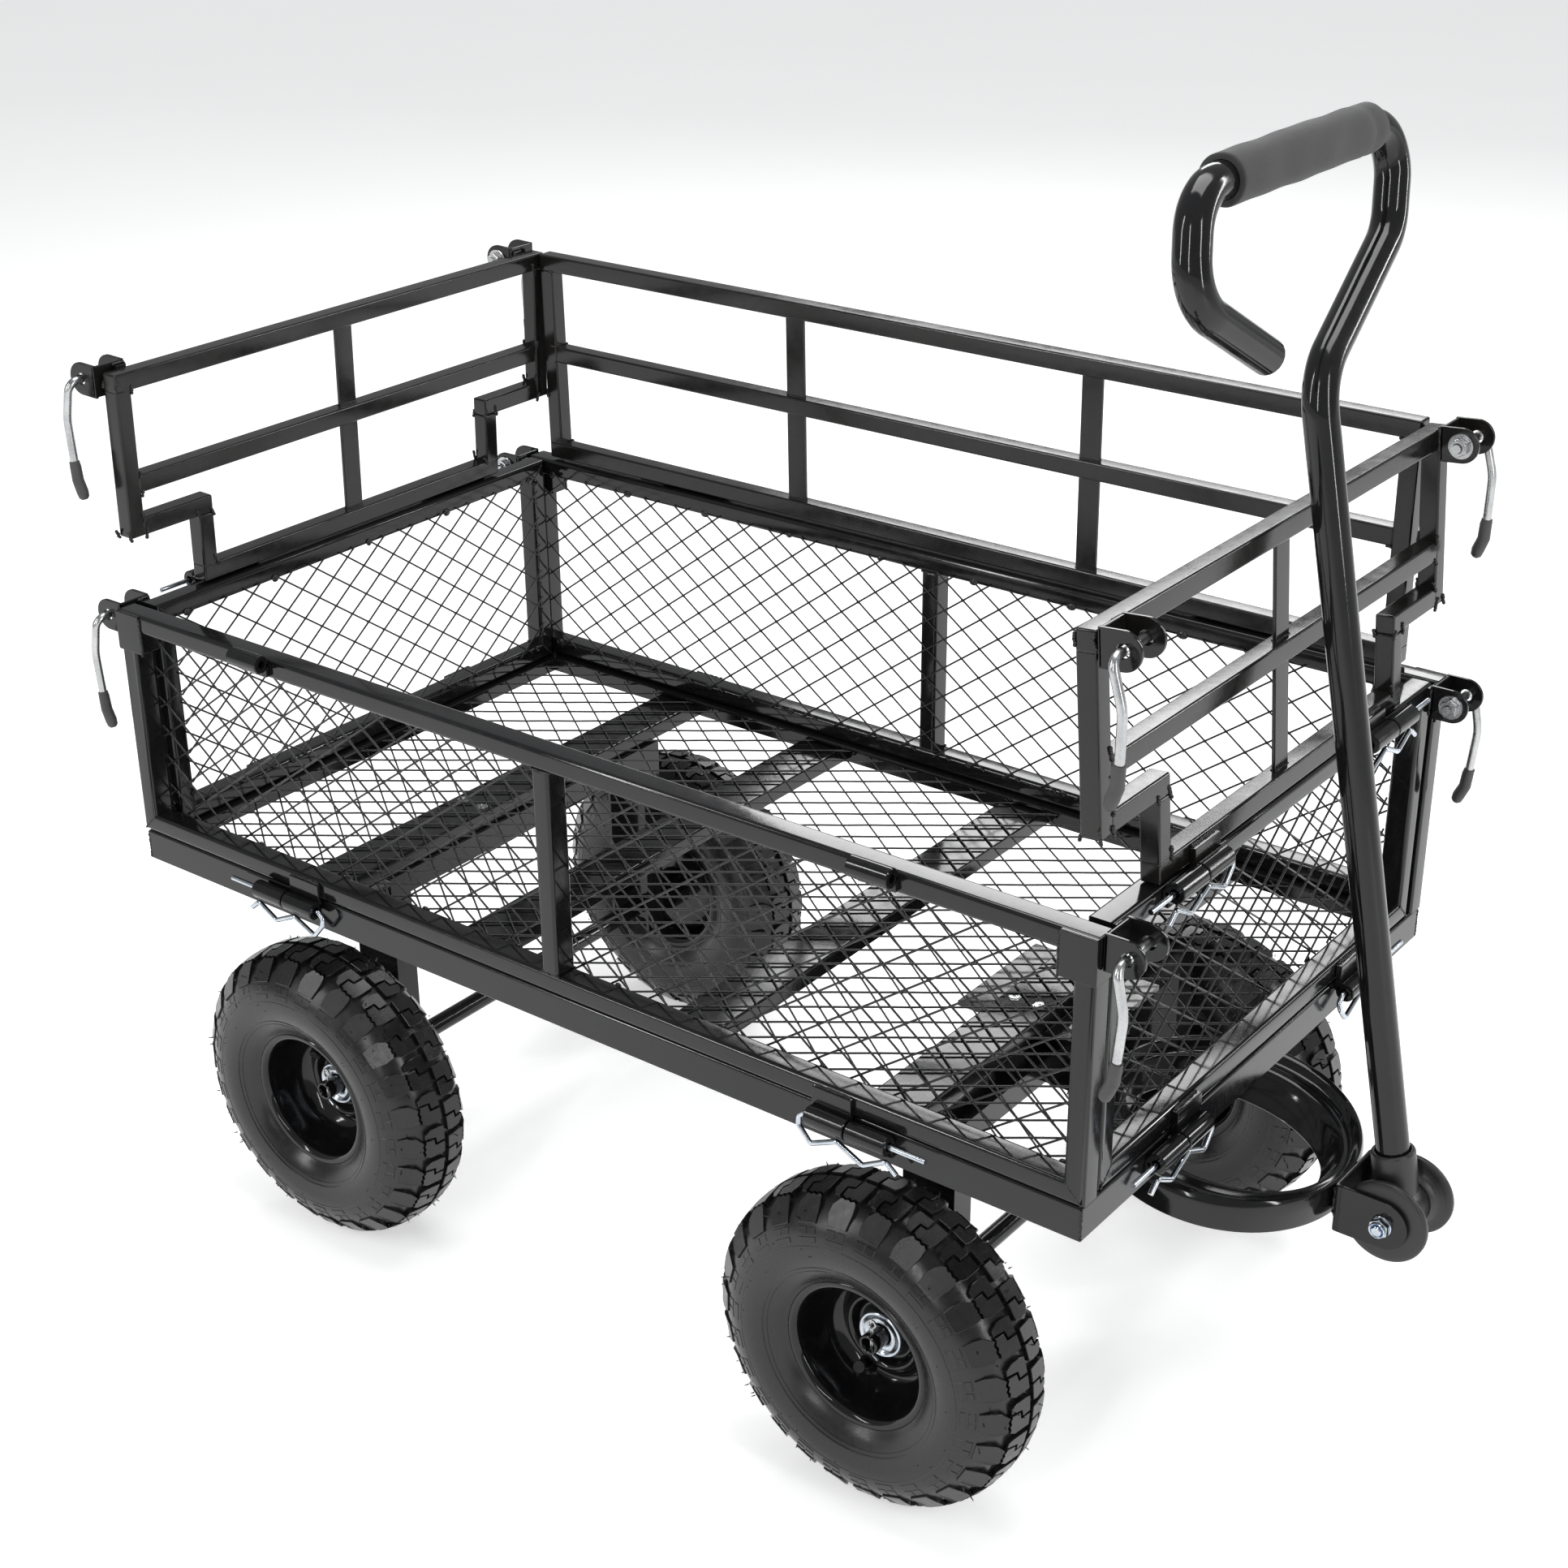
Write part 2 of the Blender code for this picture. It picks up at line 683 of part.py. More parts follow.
def build_end_rack(name, sign, angle):
    bottom, top = RACK_BOTTOM, RACK_BOTTOM + RACK_HEIGHT
    half = END_RACK_WIDTH / 2
    size = RACK_TUBE
    step = bottom + NOTCH_RISE
    jog = half - NOTCH_RUN
    rail = bottom + MIDDLE_RAIL_RISE
    outline = [
        (-jog, bottom), (jog, bottom), (jog, step), (half, step), (half, top),
        (-half, top), (-half, step), (-jog, step),
    ]
    lower = [
        (-(jog - size), bottom + size), (jog - size, bottom + size),
        (jog - size, step + size), (half - size, step + size), (half - size, rail),
        (-(half - size), rail), (-(half - size), step + size), (-(jog - size), step + size),
    ]
    loops = [outline, lower, rectangle(-(half - size), rail + size, half - size, top - size)]
    low, high = sorted((sign * END_FACE, sign * (END_FACE - size)))
    face = (low + high - POST_THICKNESS) / 2
    rack = plate(name + "_rack_frame", loops, low, high, "X")
    pieces = member_barrels(
        name + "_rack", END_HINGE_PLACE, end_hinge_x(sign), RACK_HINGE_HEIGHT, False,
        sign * END_FACE, bottom, bottom + 0.012, True,
    )
    for level, (start, end) in enumerate(post_spans(bottom, rail, top)):
        pieces.append(
            box(
                f"{name}_rack_post_{level}",
                (face, -POST_WIDTH / 2, start), (face + POST_THICKNESS, POST_WIDTH / 2, end),
                PAINT, TOOLS,
            )
        )
    holes = []
    for corner in (-1, 1):
        bracket, hole = latch_bracket(
            f"{name}_high_latch_{corner}", sign, corner, UPPER_LATCH_HEIGHT
        )
        pieces += bracket
        holes.append(hole)
    weld(rack, *pieces)
    cut(rack, *holes)
    lean(rack, (end_hinge_x(sign), 0, RACK_HINGE_HEIGHT), "Y", -sign * angle)
    attach(end_racks[name], rack)


def lever(name, sign, corner, height, owner, hinge_height=None, angle=0.0):
    """The latch rod with its nut, bent down into a hand lever with a vinyl sleeve."""
    pivot_x = sign * (END_FACE + EAR_REACH)
    inside = corner * (LATCH_OUTBOARD - EAR_SPACING)
    outside = corner * (LATCH_OUTBOARD + 0.0135)
    bulge = sign * 0.007
    sleeve_top = height - LEVER_DROP + SLEEVE_LENGTH
    wide, thick = LOCK_NUT_RADIUS / ROD_RADIUS, SLEEVE_RADIUS / ROD_RADIUS
    path = rounded(
        [
            (pivot_x, inside - corner * 0.0019, height),
            (pivot_x, outside, height),
            (pivot_x + bulge, outside, height - 0.030),
            (pivot_x + bulge * 0.6, outside, sleeve_top + 0.001),
        ],
        [0.007, 0.030],
        steps=3,
    )
    nut = [Vector((pivot_x, inside - corner * reach, height)) for reach in (0.0085, 0.0020)]
    tail = [
        Vector((pivot_x + bulge * 0.55, outside, sleeve_top)),
        Vector((pivot_x - sign * 0.004, outside, height - LEVER_DROP)),
    ]
    points = nut + path + tail
    swell = [wide, wide] + [1.0] * len(path) + [thick, thick]
    obj = tube(name, points, ROD_RADIUS, ZINC, None, 1, swell)
    anchor = Vector((pivot_x, 0, height))
    if angle:
        hinge = Vector((end_hinge_x(sign), 0, hinge_height))
        turn = Matrix.Translation(hinge) @ Matrix.Rotation(-sign * angle, 4, "Y") @ Matrix.Translation(-hinge)
        moved = turn @ anchor
        obj.location = moved - anchor
        anchor = moved
    pivot = body(name + "_pivot", anchor, owner)
    attach(pivot, obj)


def clip(name, place, across, height, along_x, owner):
    """An R-clip: the straight leg through both barrels, the waved leg hanging outside."""
    side = 1 if place > 0 else -1
    start = abs(place) - BARREL_LENGTH - BARREL_SPACE / 2 - 0.004
    end = abs(place) + BARREL_LENGTH + BARREL_SPACE / 2 + CLIP_TIP
    waves = [
        (end, 0.0), (start + 0.001, 0.0), (start - 0.003, 0.004), (start - 0.003, 0.010),
        (start + 0.006, 0.0220), (start + 0.029, 0.0122), (start + 0.051, 0.0220),
        (start + 0.070, 0.0124), (start + 0.079, 0.0190),
    ]
    points = []
    for reach, hang in waves:
        if along_x:
            points.append((side * reach, across, height - hang))
        else:
            points.append((across, side * reach, height - hang))
    attach(owner, tube(name, points, CLIP_WIRE, ZINC, None, 1))


def build_clips():
    for name, sign in SIDES.items():
        for spot, label in zip(hinge_places(SIDE_HINGE_PLACE), ("rear", "front")):
            clip(f"{name}_{label}_panel_clip", spot, side_hinge_y(sign), DECK_HINGE_HEIGHT, True, cart)
    for name, sign in ENDS.items():
        for spot, label in zip(hinge_places(END_HINGE_PLACE), ("near", "far")):
            clip(f"{name}_{label}_panel_clip", spot, end_hinge_x(sign), DECK_HINGE_HEIGHT, False, cart)
            clip(
                f"{name}_{label}_rack_clip", spot, end_hinge_x(sign), RACK_HINGE_HEIGHT, False,
                end_panels[name],
            )
    for spot, label in zip(hinge_places(SIDE_HINGE_PLACE), ("rear", "front")):
        clip(
            f"far_{label}_rack_clip", spot, side_hinge_y(1), RACK_HINGE_HEIGHT, True,
            side_panels["far"],
        )


def leg(name, axle_x, sign, top):
    """A channel leg with its web outboard and its flanges turned inwards."""
    outer = sign * LEG_TRACK / 2
    half = LEG_WIDTH / 2
    wall = LEG_WALL
    profile = [
        (axle_x - half, outer), (axle_x + half, outer),
        (axle_x + half, outer - sign * LEG_DEPTH), (axle_x + half - wall, outer - sign * LEG_DEPTH),
        (axle_x + half - wall, outer - sign * wall), (axle_x - half + wall, outer - sign * wall),
        (axle_x - half + wall, outer - sign * LEG_DEPTH), (axle_x - half, outer - sign * LEG_DEPTH),
    ]
    return plate(name, [profile], TYRE_RADIUS - LEG_BELOW_AXLE, top, "Z", PAINT, TOOLS)


def axle_bracket(name, axle_x, top, owner, kingpin):
    """A cross channel under the deck with a leg down to the axle at each end."""
    half = LEG_WIDTH / 2
    wall = LEG_WALL
    profile = [
        (axle_x - half, top - BOLSTER_HEIGHT), (axle_x - half, top), (axle_x + half, top),
        (axle_x + half, top - BOLSTER_HEIGHT), (axle_x + half - wall, top - BOLSTER_HEIGHT),
        (axle_x + half - wall, top - wall), (axle_x - half + wall, top - wall),
        (axle_x - half + wall, top - BOLSTER_HEIGHT),
    ]
    beam = plate(name, [profile], -LEG_TRACK / 2 + 0.001, LEG_TRACK / 2 - 0.001, "Y")
    weld(beam, leg(name + "_near", axle_x, -1, top - 0.001), leg(name + "_far", axle_x, 1, top - 0.001))
    bore = AXLE_RADIUS + RUNNING_GAP
    cut(
        beam,
        rod(
            name + "_bore", (axle_x, -LEG_TRACK, TYRE_RADIUS), (axle_x, LEG_TRACK, TYRE_RADIUS),
            bore, PAINT, TOOLS,
        ),
    )
    if kingpin:
        cut(
            beam,
            rod(
                name + "_pin_bore", (axle_x, 0, top - 0.01), (axle_x, 0, top + 0.01),
                KINGPIN_RADIUS + RUNNING_GAP, PAINT, TOOLS,
            ),
        )
    attach(owner, beam)


def axle(name, axle_x, owner):
    """The axle rod, with a cotter pin across each end."""
    end = WHEEL_TRACK / 2 + AXLE_OVERHANG
    shaft = rod(name, (axle_x, -end, TYRE_RADIUS), (axle_x, end, TYRE_RADIUS), AXLE_RADIUS)
    pins = []
    for sign in (-1, 1):
        y = sign * (end - 0.005)
        pins.append(
            rod(
                f"{name}_cotter_{sign}", (axle_x - 0.0005, y, TYRE_RADIUS - 0.0125),
                (axle_x - 0.0005, y, TYRE_RADIUS + 0.0125), 0.0016, PAINT, TOOLS, sides=6,
            )
        )
    weld(shaft, *pins)
    attach(owner, shaft)


def wheel(name, axle_x, sign, owner):
    centre = Vector((axle_x, sign * WHEEL_TRACK / 2, TYRE_RADIUS))
    spin = body(name, centre, owner)
    axis = Y * sign
    half = TYRE_WIDTH / 2
    edge = RIM_WIDTH / 2
    seat = edge - 0.0044
    flank = [
        (RIM_RADIUS - 0.0057, seat), (RIM_RADIUS + 0.0006, seat + 0.0011),
        (RIM_RADIUS + 0.0200, half), (TYRE_RADIUS - 0.0220, half - 0.0020),
        (TYRE_RADIUS - 0.0060, half * 0.68), (TYRE_RADIUS, half * 0.38),
    ]
    tyre_outline = [(r, -w) for r, w in flank] + [(r, w) for r, w in flank[::-1]]
    tyre = turned(name + "_tyre", tyre_outline, centre, axis, RUBBER, None, steps=28)
    bore = AXLE_RADIUS + RUNNING_GAP
    well = RIM_RADIUS - 0.0071
    back = -HUB_RECESS - HUB_LENGTH
    rim_outline = [
        (bore, back), (HUB_RADIUS, back), (HUB_RADIUS, -0.018), (well - 0.006, -0.018),
        (well - 0.004, -edge), (RIM_RADIUS, -edge), (RIM_RADIUS, -edge + 0.0028),
        (well, -edge + 0.0040), (well, edge - 0.0040), (RIM_RADIUS, edge - 0.0028),
        (RIM_RADIUS, edge), (well - 0.004, edge), (well - 0.006, -0.013), (HUB_RADIUS, -0.013),
        (HUB_RADIUS, -HUB_RECESS), (bore, -HUB_RECESS),
    ]
    rim = turned(name + "_rim", rim_outline, centre, axis, PAINT, None, steps=20)
    cap_outline = [
        (bore, GAP - HUB_RECESS), (HUB_RADIUS, GAP - HUB_RECESS), (HUB_RADIUS - 0.002, 0.0), (bore, 0.0),
    ]
    cap = turned(name + "_hub_cap", cap_outline, centre, axis, ZINC, None, steps=16)
    attach(spin, tyre, rim, cap)


def steering_gear():
    """The turntable plate on the deck, and the kingpin with its nut."""
    strip_bottom = DECK_TOP - FLANGE_WALL - 2 * GAP - WIRE_SHEET - STRIP_HEIGHT
    half = TURNTABLE_WIDTH / 2
    top = strip_bottom - GAP
    thick = 0.004
    bottom = BOLSTER_TOP + GAP
    turntable = box(
        "turntable_plate", (FRONT_AXLE - half, -half, top - thick), (FRONT_AXLE + half, half, top)
    )
    boss = rod(
        "turntable_boss", (FRONT_AXLE, 0, bottom), (FRONT_AXLE, 0, top - thick / 2), 0.024, PAINT, TOOLS,
        sides=20,
    )
    weld(turntable, boss)
    cut(
        turntable,
        rod(
            "turntable_bore", (FRONT_AXLE, 0, bottom - 0.01), (FRONT_AXLE, 0, top + 0.01),
            KINGPIN_RADIUS + RUNNING_GAP, PAINT, TOOLS,
        ),
    )
    ceiling = strip_bottom + STRIP_HEIGHT - FLANGE_WALL
    head = top + GAP
    nut_top = BOLSTER_TOP - LEG_WALL - GAP
    pin = rod("kingpin_bolt", (FRONT_AXLE, 0, nut_top - 0.012), (FRONT_AXLE, 0, head + 0.004), KINGPIN_RADIUS, ZINC)
    weld(
        pin,
        rod(
            "kingpin_head", (FRONT_AXLE, 0, head), (FRONT_AXLE, 0, min(head + 0.007, ceiling - 0.001)),
            0.0125, ZINC, TOOLS, sides=6,
        ),
    )
    nut = hexagon_nut(
        "kingpin_nut", (FRONT_AXLE, 0, nut_top - 0.0085), (FRONT_AXLE, 0, nut_top), 0.0125, KINGPIN_RADIUS
    )
    attach(cart, turntable, pin, nut)


def ellipse(centre, radii, steps):
    return [
        (
            centre + radii[0] * math.cos(2 * math.pi * i / steps),
            radii[1] * math.sin(2 * math.pi * i / steps),
        )
        for i in range(steps)
    ]


def draw_ring():
    """The pressed ring ahead of the axle, its tongue, and the yoke plates for the handle."""
    half = RING_DEPTH / 2
    ring = plate(
        "draw_ring",
        [ellipse(RING_CENTRE, RING_OUTER, 32), ellipse(RING_CENTRE, RING_HOLE, 24)],
        RING_HEIGHT - half,
        RING_HEIGHT + half,
        "Z",
    )
    middle = Vector((RING_CENTRE, 0, RING_HEIGHT))
    turn = Matrix.Translation(middle) @ Matrix.Rotation(RING_PITCH, 4, "Y") @ Matrix.Translation(-middle)
    ring.data.transform(turn)
    under = BOLSTER_TOP - BOLSTER_HEIGHT - GAP
    tongue = box(
        "tongue", (FRONT_AXLE - LEG_WIDTH / 2, -0.045, under - 0.006), (RING_CENTRE - RING_OUTER[0] + 0.016, 0.045, under),
        PAINT, TOOLS,
    )
    web_x = PIVOT.x - YOKE_BACK
    low, high = PIVOT.z - YOKE_HEIGHT / 2, PIVOT.z + YOKE_HEIGHT / 2
    outside = YOKE_INSIDE + YOKE_WALL
    web = box("yoke_web", (web_x - YOKE_WALL, -outside, low), (web_x, outside, high), PAINT, TOOLS)
    block = box(
        "yoke_block", (RING_CENTRE + RING_HOLE[0] + 0.006, -0.016, RING_HEIGHT - 0.020),
        (web_x - 0.001, 0.016, RING_HEIGHT - 0.006), PAINT, TOOLS,
    )
    pieces = [tongue, web, block]
    nose = arc((PIVOT.x, PIVOT.z), YOKE_HEIGHT / 2 - 0.001, -math.pi / 2, math.pi / 2, 8)
    cheek = nose + [(web_x - YOKE_WALL / 2, high - 0.001), (web_x - YOKE_WALL / 2, low + 0.001)]
    for sign in (-1, 1):
        first, last = sorted((sign * YOKE_INSIDE, sign * outside))
        pieces.append(plate(f"yoke_cheek_{sign}", [cheek], first, last, "Y", PAINT, TOOLS))
    weld(ring, *pieces)
    reach = outside + 0.01
    cut(
        ring,
        rod("yoke_bore", PIVOT - Y * reach, PIVOT + Y * reach, BOLT_RADIUS + RUNNING_GAP, PAINT, TOOLS),
    )
    attach(steering, ring)
    grip_length = outside + GAP
    bolt = rod(
        "yoke_bolt", PIVOT - Y * (grip_length + 0.009), PIVOT + Y * (grip_length + 0.002), BOLT_RADIUS, ZINC
    )
    weld(
        bolt,
        rod(
            "yoke_bolt_head", PIVOT + Y * grip_length, PIVOT + Y * (grip_length + 0.0055), 0.0075,
            ZINC, TOOLS, sides=6,
        ),
    )
    nut = hexagon_nut(
        "yoke_nut", PIVOT - Y * (grip_length + 0.0075), PIVOT - Y * grip_length, 0.0078, BOLT_RADIUS
    )
    attach(steering, bolt, nut)


def handle_place(across, along):
    """A point of the handle's plane: across the cart, and along the stem from the pivot."""
    return PIVOT + Vector((-math.sin(HANDLE_LEAN) * along, across, math.cos(HANDLE_LEAN) * along))


def build_handle():
    corners = [
        (0.0, TUBE_START), (0.0, STEM_LENGTH), LOOP_SHOULDER, (LOOP_CORNERS[1], GRIP_HEIGHT),
        (LOOP_CORNERS[0], GRIP_HEIGHT), LOOP_ELBOW, LOOP_TAIL,
    ]
    path = rounded(
        [handle_place(*c) for c in corners], [0.045, 0.040, 0.029, 0.036, 0.034], steps=5
    )
    pipe = tube("handle_tube", path, TUBE_RADIUS, PAINT, None, 3)
    grip = turned(
        "foam_grip",
        [
            (TUBE_RADIUS + GAP, 0.0), (GRIP_RADIUS, 0.0), (GRIP_RADIUS, GRIP_ENDS[1] - GRIP_ENDS[0]),
            (TUBE_RADIUS + GAP, GRIP_ENDS[1] - GRIP_ENDS[0]),
        ],
        handle_place(GRIP_ENDS[0], GRIP_HEIGHT),
        Y,
        FOAM,
        None,
        steps=20,
    )
    disc_out = YOKE_INSIDE - 2 * GAP
    disc_in = disc_out - SOCKET_DISC_WIDTH
    socket = rod(
        "handle_socket", PIVOT - Y * disc_out, PIVOT - Y * disc_in, SOCKET_DISC, PLASTIC, sides=28
    )
    collar = TUBE_RADIUS + GAP + SOCKET_WALL
    far_disc = rod(
        "socket_disc", PIVOT + Y * disc_in, PIVOT + Y * disc_out, SOCKET_DISC, PLASTIC, TOOLS, sides=28
    )
    hub = rod(
        "socket_hub", PIVOT - Y * (disc_in + 0.001), PIVOT + Y * (disc_in + 0.001), 0.018, PLASTIC,
        TOOLS, sides=20,
    )
    neck = rod(
        "socket_neck", handle_place(0, 0.002), handle_place(0, SOCKET_LENGTH), collar, PLASTIC, TOOLS,
        sides=20,
    )
    weld(socket, far_disc, hub, neck)
    cut(
        socket,
        rod(
            "socket_bore", handle_place(0, TUBE_START - GAP), handle_place(0, SOCKET_LENGTH + 0.01),
            TUBE_RADIUS + GAP, PLASTIC, TOOLS, sides=20,
        ),
        rod(
            "socket_bolt_bore", PIVOT - Y * 0.04, PIVOT + Y * 0.04, BOLT_RADIUS + RUNNING_GAP, PLASTIC,
            TOOLS,
        ),
    )
    attach(handle, pipe, grip, socket)


def centre_on_bounds():
    """Moves the whole cart so that its bounding box is centred over the origin."""
    bpy.context.view_layer.update()
    depsgraph = bpy.context.evaluated_depsgraph_get()
    low, high = Vector((9, 9, 9)), Vector((-9, -9, -9))
    for obj in PARTS.objects:
        if obj.type != "MESH":
            continue
        evaluated = obj.evaluated_get(depsgraph)
        mesh = evaluated.to_mesh()
        for vert in mesh.vertices:
            place = evaluated.matrix_world @ vert.co
            low = Vector(map(min, low, place))
            high = Vector(map(max, high, place))
        evaluated.to_mesh_clear()
    cart.location = Vector((-(low.x + high.x) / 2, -(low.y + high.y) / 2, -low.z))


deck()
for side_name, side_sign in SIDES.items():
    build_side_panel(side_name, side_sign)
for end_name, end_sign in ENDS.items():
    build_end_panel(end_name, end_sign)
build_side_rack()
build_end_rack("front", 1, FRONT_RACK_LEAN)
build_end_rack("rear", -1, REAR_RACK_LEAN)
for end_name, end_sign in ENDS.items():
    tip = FRONT_RACK_LEAN if end_name == "front" else REAR_RACK_LEAN
    for corner_name, corner_sign in SIDES.items():
        lever(
            f"{end_name}_{corner_name}_low_lever", end_sign, corner_sign, LOWER_LATCH_HEIGHT,
            end_panels[end_name],
        )
        lever(
            f"{end_name}_{corner_name}_high_lever", end_sign, corner_sign, UPPER_LATCH_HEIGHT,
            end_racks[end_name], RACK_HINGE_HEIGHT, tip,
        )
build_clips()
rear_top = DECK_TOP - FLANGE_WALL - 3 * GAP - WIRE_SHEET - STRIP_HEIGHT
axle_bracket("rear_axle_bracket", REAR_AXLE, rear_top, cart, False)
axle_bracket("front_axle_bracket", FRONT_AXLE, BOLSTER_TOP, steering, True)
axle("rear_axle", REAR_AXLE, cart)
axle("front_axle", FRONT_AXLE, steering)
for side_name, side_sign in SIDES.items():
    wheel(f"front_{side_name}_wheel", FRONT_AXLE, side_sign, steering)
    wheel(f"rear_{side_name}_wheel", REAR_AXLE, side_sign, cart)
steering_gear()
draw_ring()
build_handle()
centre_on_bounds()
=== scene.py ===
# Garden cart: mesh bed, drop sides, rack frames, four air tyres and a pull handle.
# Metres, +Z up, +X towards the handle. Sizes are measured from the middle of the deck.
import math
import random

import bmesh
import bpy
from mathutils import Matrix, Vector


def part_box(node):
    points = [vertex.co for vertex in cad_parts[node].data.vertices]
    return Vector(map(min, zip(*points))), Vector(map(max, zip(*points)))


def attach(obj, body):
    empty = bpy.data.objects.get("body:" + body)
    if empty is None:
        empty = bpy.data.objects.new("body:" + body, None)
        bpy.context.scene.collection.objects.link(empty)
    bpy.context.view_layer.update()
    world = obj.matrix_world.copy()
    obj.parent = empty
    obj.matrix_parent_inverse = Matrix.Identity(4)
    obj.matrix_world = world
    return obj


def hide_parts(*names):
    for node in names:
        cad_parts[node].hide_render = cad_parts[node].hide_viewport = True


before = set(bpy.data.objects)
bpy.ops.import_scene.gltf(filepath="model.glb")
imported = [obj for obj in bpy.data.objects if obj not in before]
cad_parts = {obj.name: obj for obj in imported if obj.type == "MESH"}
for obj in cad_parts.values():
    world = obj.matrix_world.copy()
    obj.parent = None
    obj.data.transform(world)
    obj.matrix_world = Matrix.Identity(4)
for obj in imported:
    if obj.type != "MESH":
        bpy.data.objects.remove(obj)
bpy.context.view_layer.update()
deckLow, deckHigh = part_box("deck_frame")
deckShift = Vector(((deckLow[0] + deckHigh[0]) / 2, 0, 0))
chance = random.Random(7)
xAxis, yAxis, zAxis = Vector((1, 0, 0)), Vector((0, 1, 0)), Vector((0, 0, 1))
sideSigns = {"near": -1, "far": 1}
endSigns = {"rear": -1, "front": 1}
print("frame loaded:", len(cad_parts), "nodes")


# finishes, each made from three shared node groups
def newGroup(name, inputs, outputs):
    group = bpy.data.node_groups.new(name, "ShaderNodeTree")
    for label, kind, value in inputs:
        socket = group.interface.new_socket(name=label, in_out="INPUT", socket_type=kind)
        if value is not None:
            socket.default_value = value
    for label, kind in outputs:
        group.interface.new_socket(name=label, in_out="OUTPUT", socket_type=kind)
    start = group.nodes.new("NodeGroupInput")
    finish = group.nodes.new("NodeGroupOutput")
    return group, start, finish


def noiseNode(tree, vector, scale, detail, roughness=0.55):
    node = tree.nodes.new("ShaderNodeTexNoise")
    node.inputs["Detail"].default_value = detail
    node.inputs["Roughness"].default_value = roughness
    tree.links.new(vector, node.inputs["Vector"])
    if hasattr(scale, "is_linked"):
        tree.links.new(scale, node.inputs["Scale"])
    else:
        node.inputs["Scale"].default_value = scale
    return node.outputs["Fac"]


def rangeNode(tree, value, low, high, newLow, newHigh):
    node = tree.nodes.new("ShaderNodeMapRange")
    tree.links.new(value, node.inputs["Value"])
    for label, entry in (("From Min", low), ("From Max", high), ("To Min", newLow), ("To Max", newHigh)):
        if hasattr(entry, "is_linked"):
            tree.links.new(entry, node.inputs[label])
        else:
            node.inputs[label].default_value = entry
    return node.outputs["Result"]


def mixColour(tree, factor, first, second):
    node = tree.nodes.new("ShaderNodeMix")
    node.data_type = "RGBA"
    tree.links.new(factor, node.inputs["Factor"])
    tree.links.new(first, node.inputs["A"])
    tree.links.new(second, node.inputs["B"])
    return node.outputs["Result"]


def mathNode(tree, operation, first, second):
    node = tree.nodes.new("ShaderNodeMath")
    node.operation = operation
    for socket, entry in zip(node.inputs, (first, second)):
        if hasattr(entry, "is_linked"):
            tree.links.new(entry, socket)
        else:
            socket.default_value = entry
    return node.outputs["Value"]


def buildUnevenTone():
    # slow changes of colour and gloss, as on sprayed, plated or moulded surfaces
    group, start, finish = newGroup(
        "unevenTone",
        [
            ("Vector", "NodeSocketVector", None),
            ("Colour", "NodeSocketColor", (0.1, 0.1, 0.1, 1)),
            ("Other Colour", "NodeSocketColor", (0.2, 0.2, 0.2, 1)),
            ("Patch Scale", "NodeSocketFloat", 9.0),
            ("Smooth", "NodeSocketFloat", 0.2),
            ("Dull", "NodeSocketFloat", 0.4),
        ],
        [("Colour", "NodeSocketColor"), ("Roughness", "NodeSocketFloat")],
    )
    patches = noiseNode(group, start.outputs["Vector"], start.outputs["Patch Scale"], 4.0)
    fine = noiseNode(
        group, start.outputs["Vector"], mathNode(group, "MULTIPLY", start.outputs["Patch Scale"], 11.0), 3.0
    )
    blend = mathNode(
        group, "ADD", mathNode(group, "MULTIPLY", patches, 0.65), mathNode(group, "MULTIPLY", fine, 0.35)
    )
    factor = rangeNode(group, blend, 0.38, 0.64, 0.0, 1.0)
    group.links.new(
        mixColour(group, factor, start.outputs["Colour"], start.outputs["Other Colour"]),
        finish.inputs["Colour"]
    )
    group.links.new(
        rangeNode(group, factor, 0.0, 1.0, start.outputs["Smooth"], start.outputs["Dull"]),
        finish.inputs["Roughness"]
    )
    return group


def buildLyingDust():
    # faint dust, thicker on faces that look up
    group, start, finish = newGroup(
        "lyingDust",
        [
            ("Vector", "NodeSocketVector", None),
            ("Colour", "NodeSocketColor", (0.1, 0.1, 0.1, 1)),
            ("Roughness", "NodeSocketFloat", 0.3),
            ("Dust Colour", "NodeSocketColor", (0.3, 0.29, 0.27, 1)),
            ("Amount", "NodeSocketFloat", 0.05),
        ],
        [("Colour", "NodeSocketColor"), ("Roughness", "NodeSocketFloat"), ("Mask", "NodeSocketFloat")],
    )
    geometry = group.nodes.new("ShaderNodeNewGeometry")
    split = group.nodes.new("ShaderNodeSeparateXYZ")
    group.links.new(geometry.outputs["Normal"], split.inputs["Vector"])
    upward = rangeNode(group, split.outputs["Z"], -0.2, 1.0, 0.25, 1.0)
    specks = rangeNode(group, noiseNode(group, start.outputs["Vector"], 160.0, 6.0, 0.7), 0.42, 0.78, 0.0, 1.0)
    drift = rangeNode(group, noiseNode(group, start.outputs["Vector"], 7.0, 3.0), 0.35, 0.75, 0.3, 1.0)
    mask = mathNode(group, "MULTIPLY", mathNode(group, "MULTIPLY", upward, specks), drift)
    mask = mathNode(group, "MULTIPLY", mask, start.outputs["Amount"])
    group.links.new(
        mixColour(group, mask, start.outputs["Colour"], start.outputs["Dust Colour"]), finish.inputs["Colour"]
    )
    group.links.new(
        mathNode(group, "ADD", start.outputs["Roughness"], mathNode(group, "MULTIPLY", mask, 0.5)),
        finish.inputs["Roughness"],
    )
    group.links.new(mask, finish.inputs["Mask"])
    return group


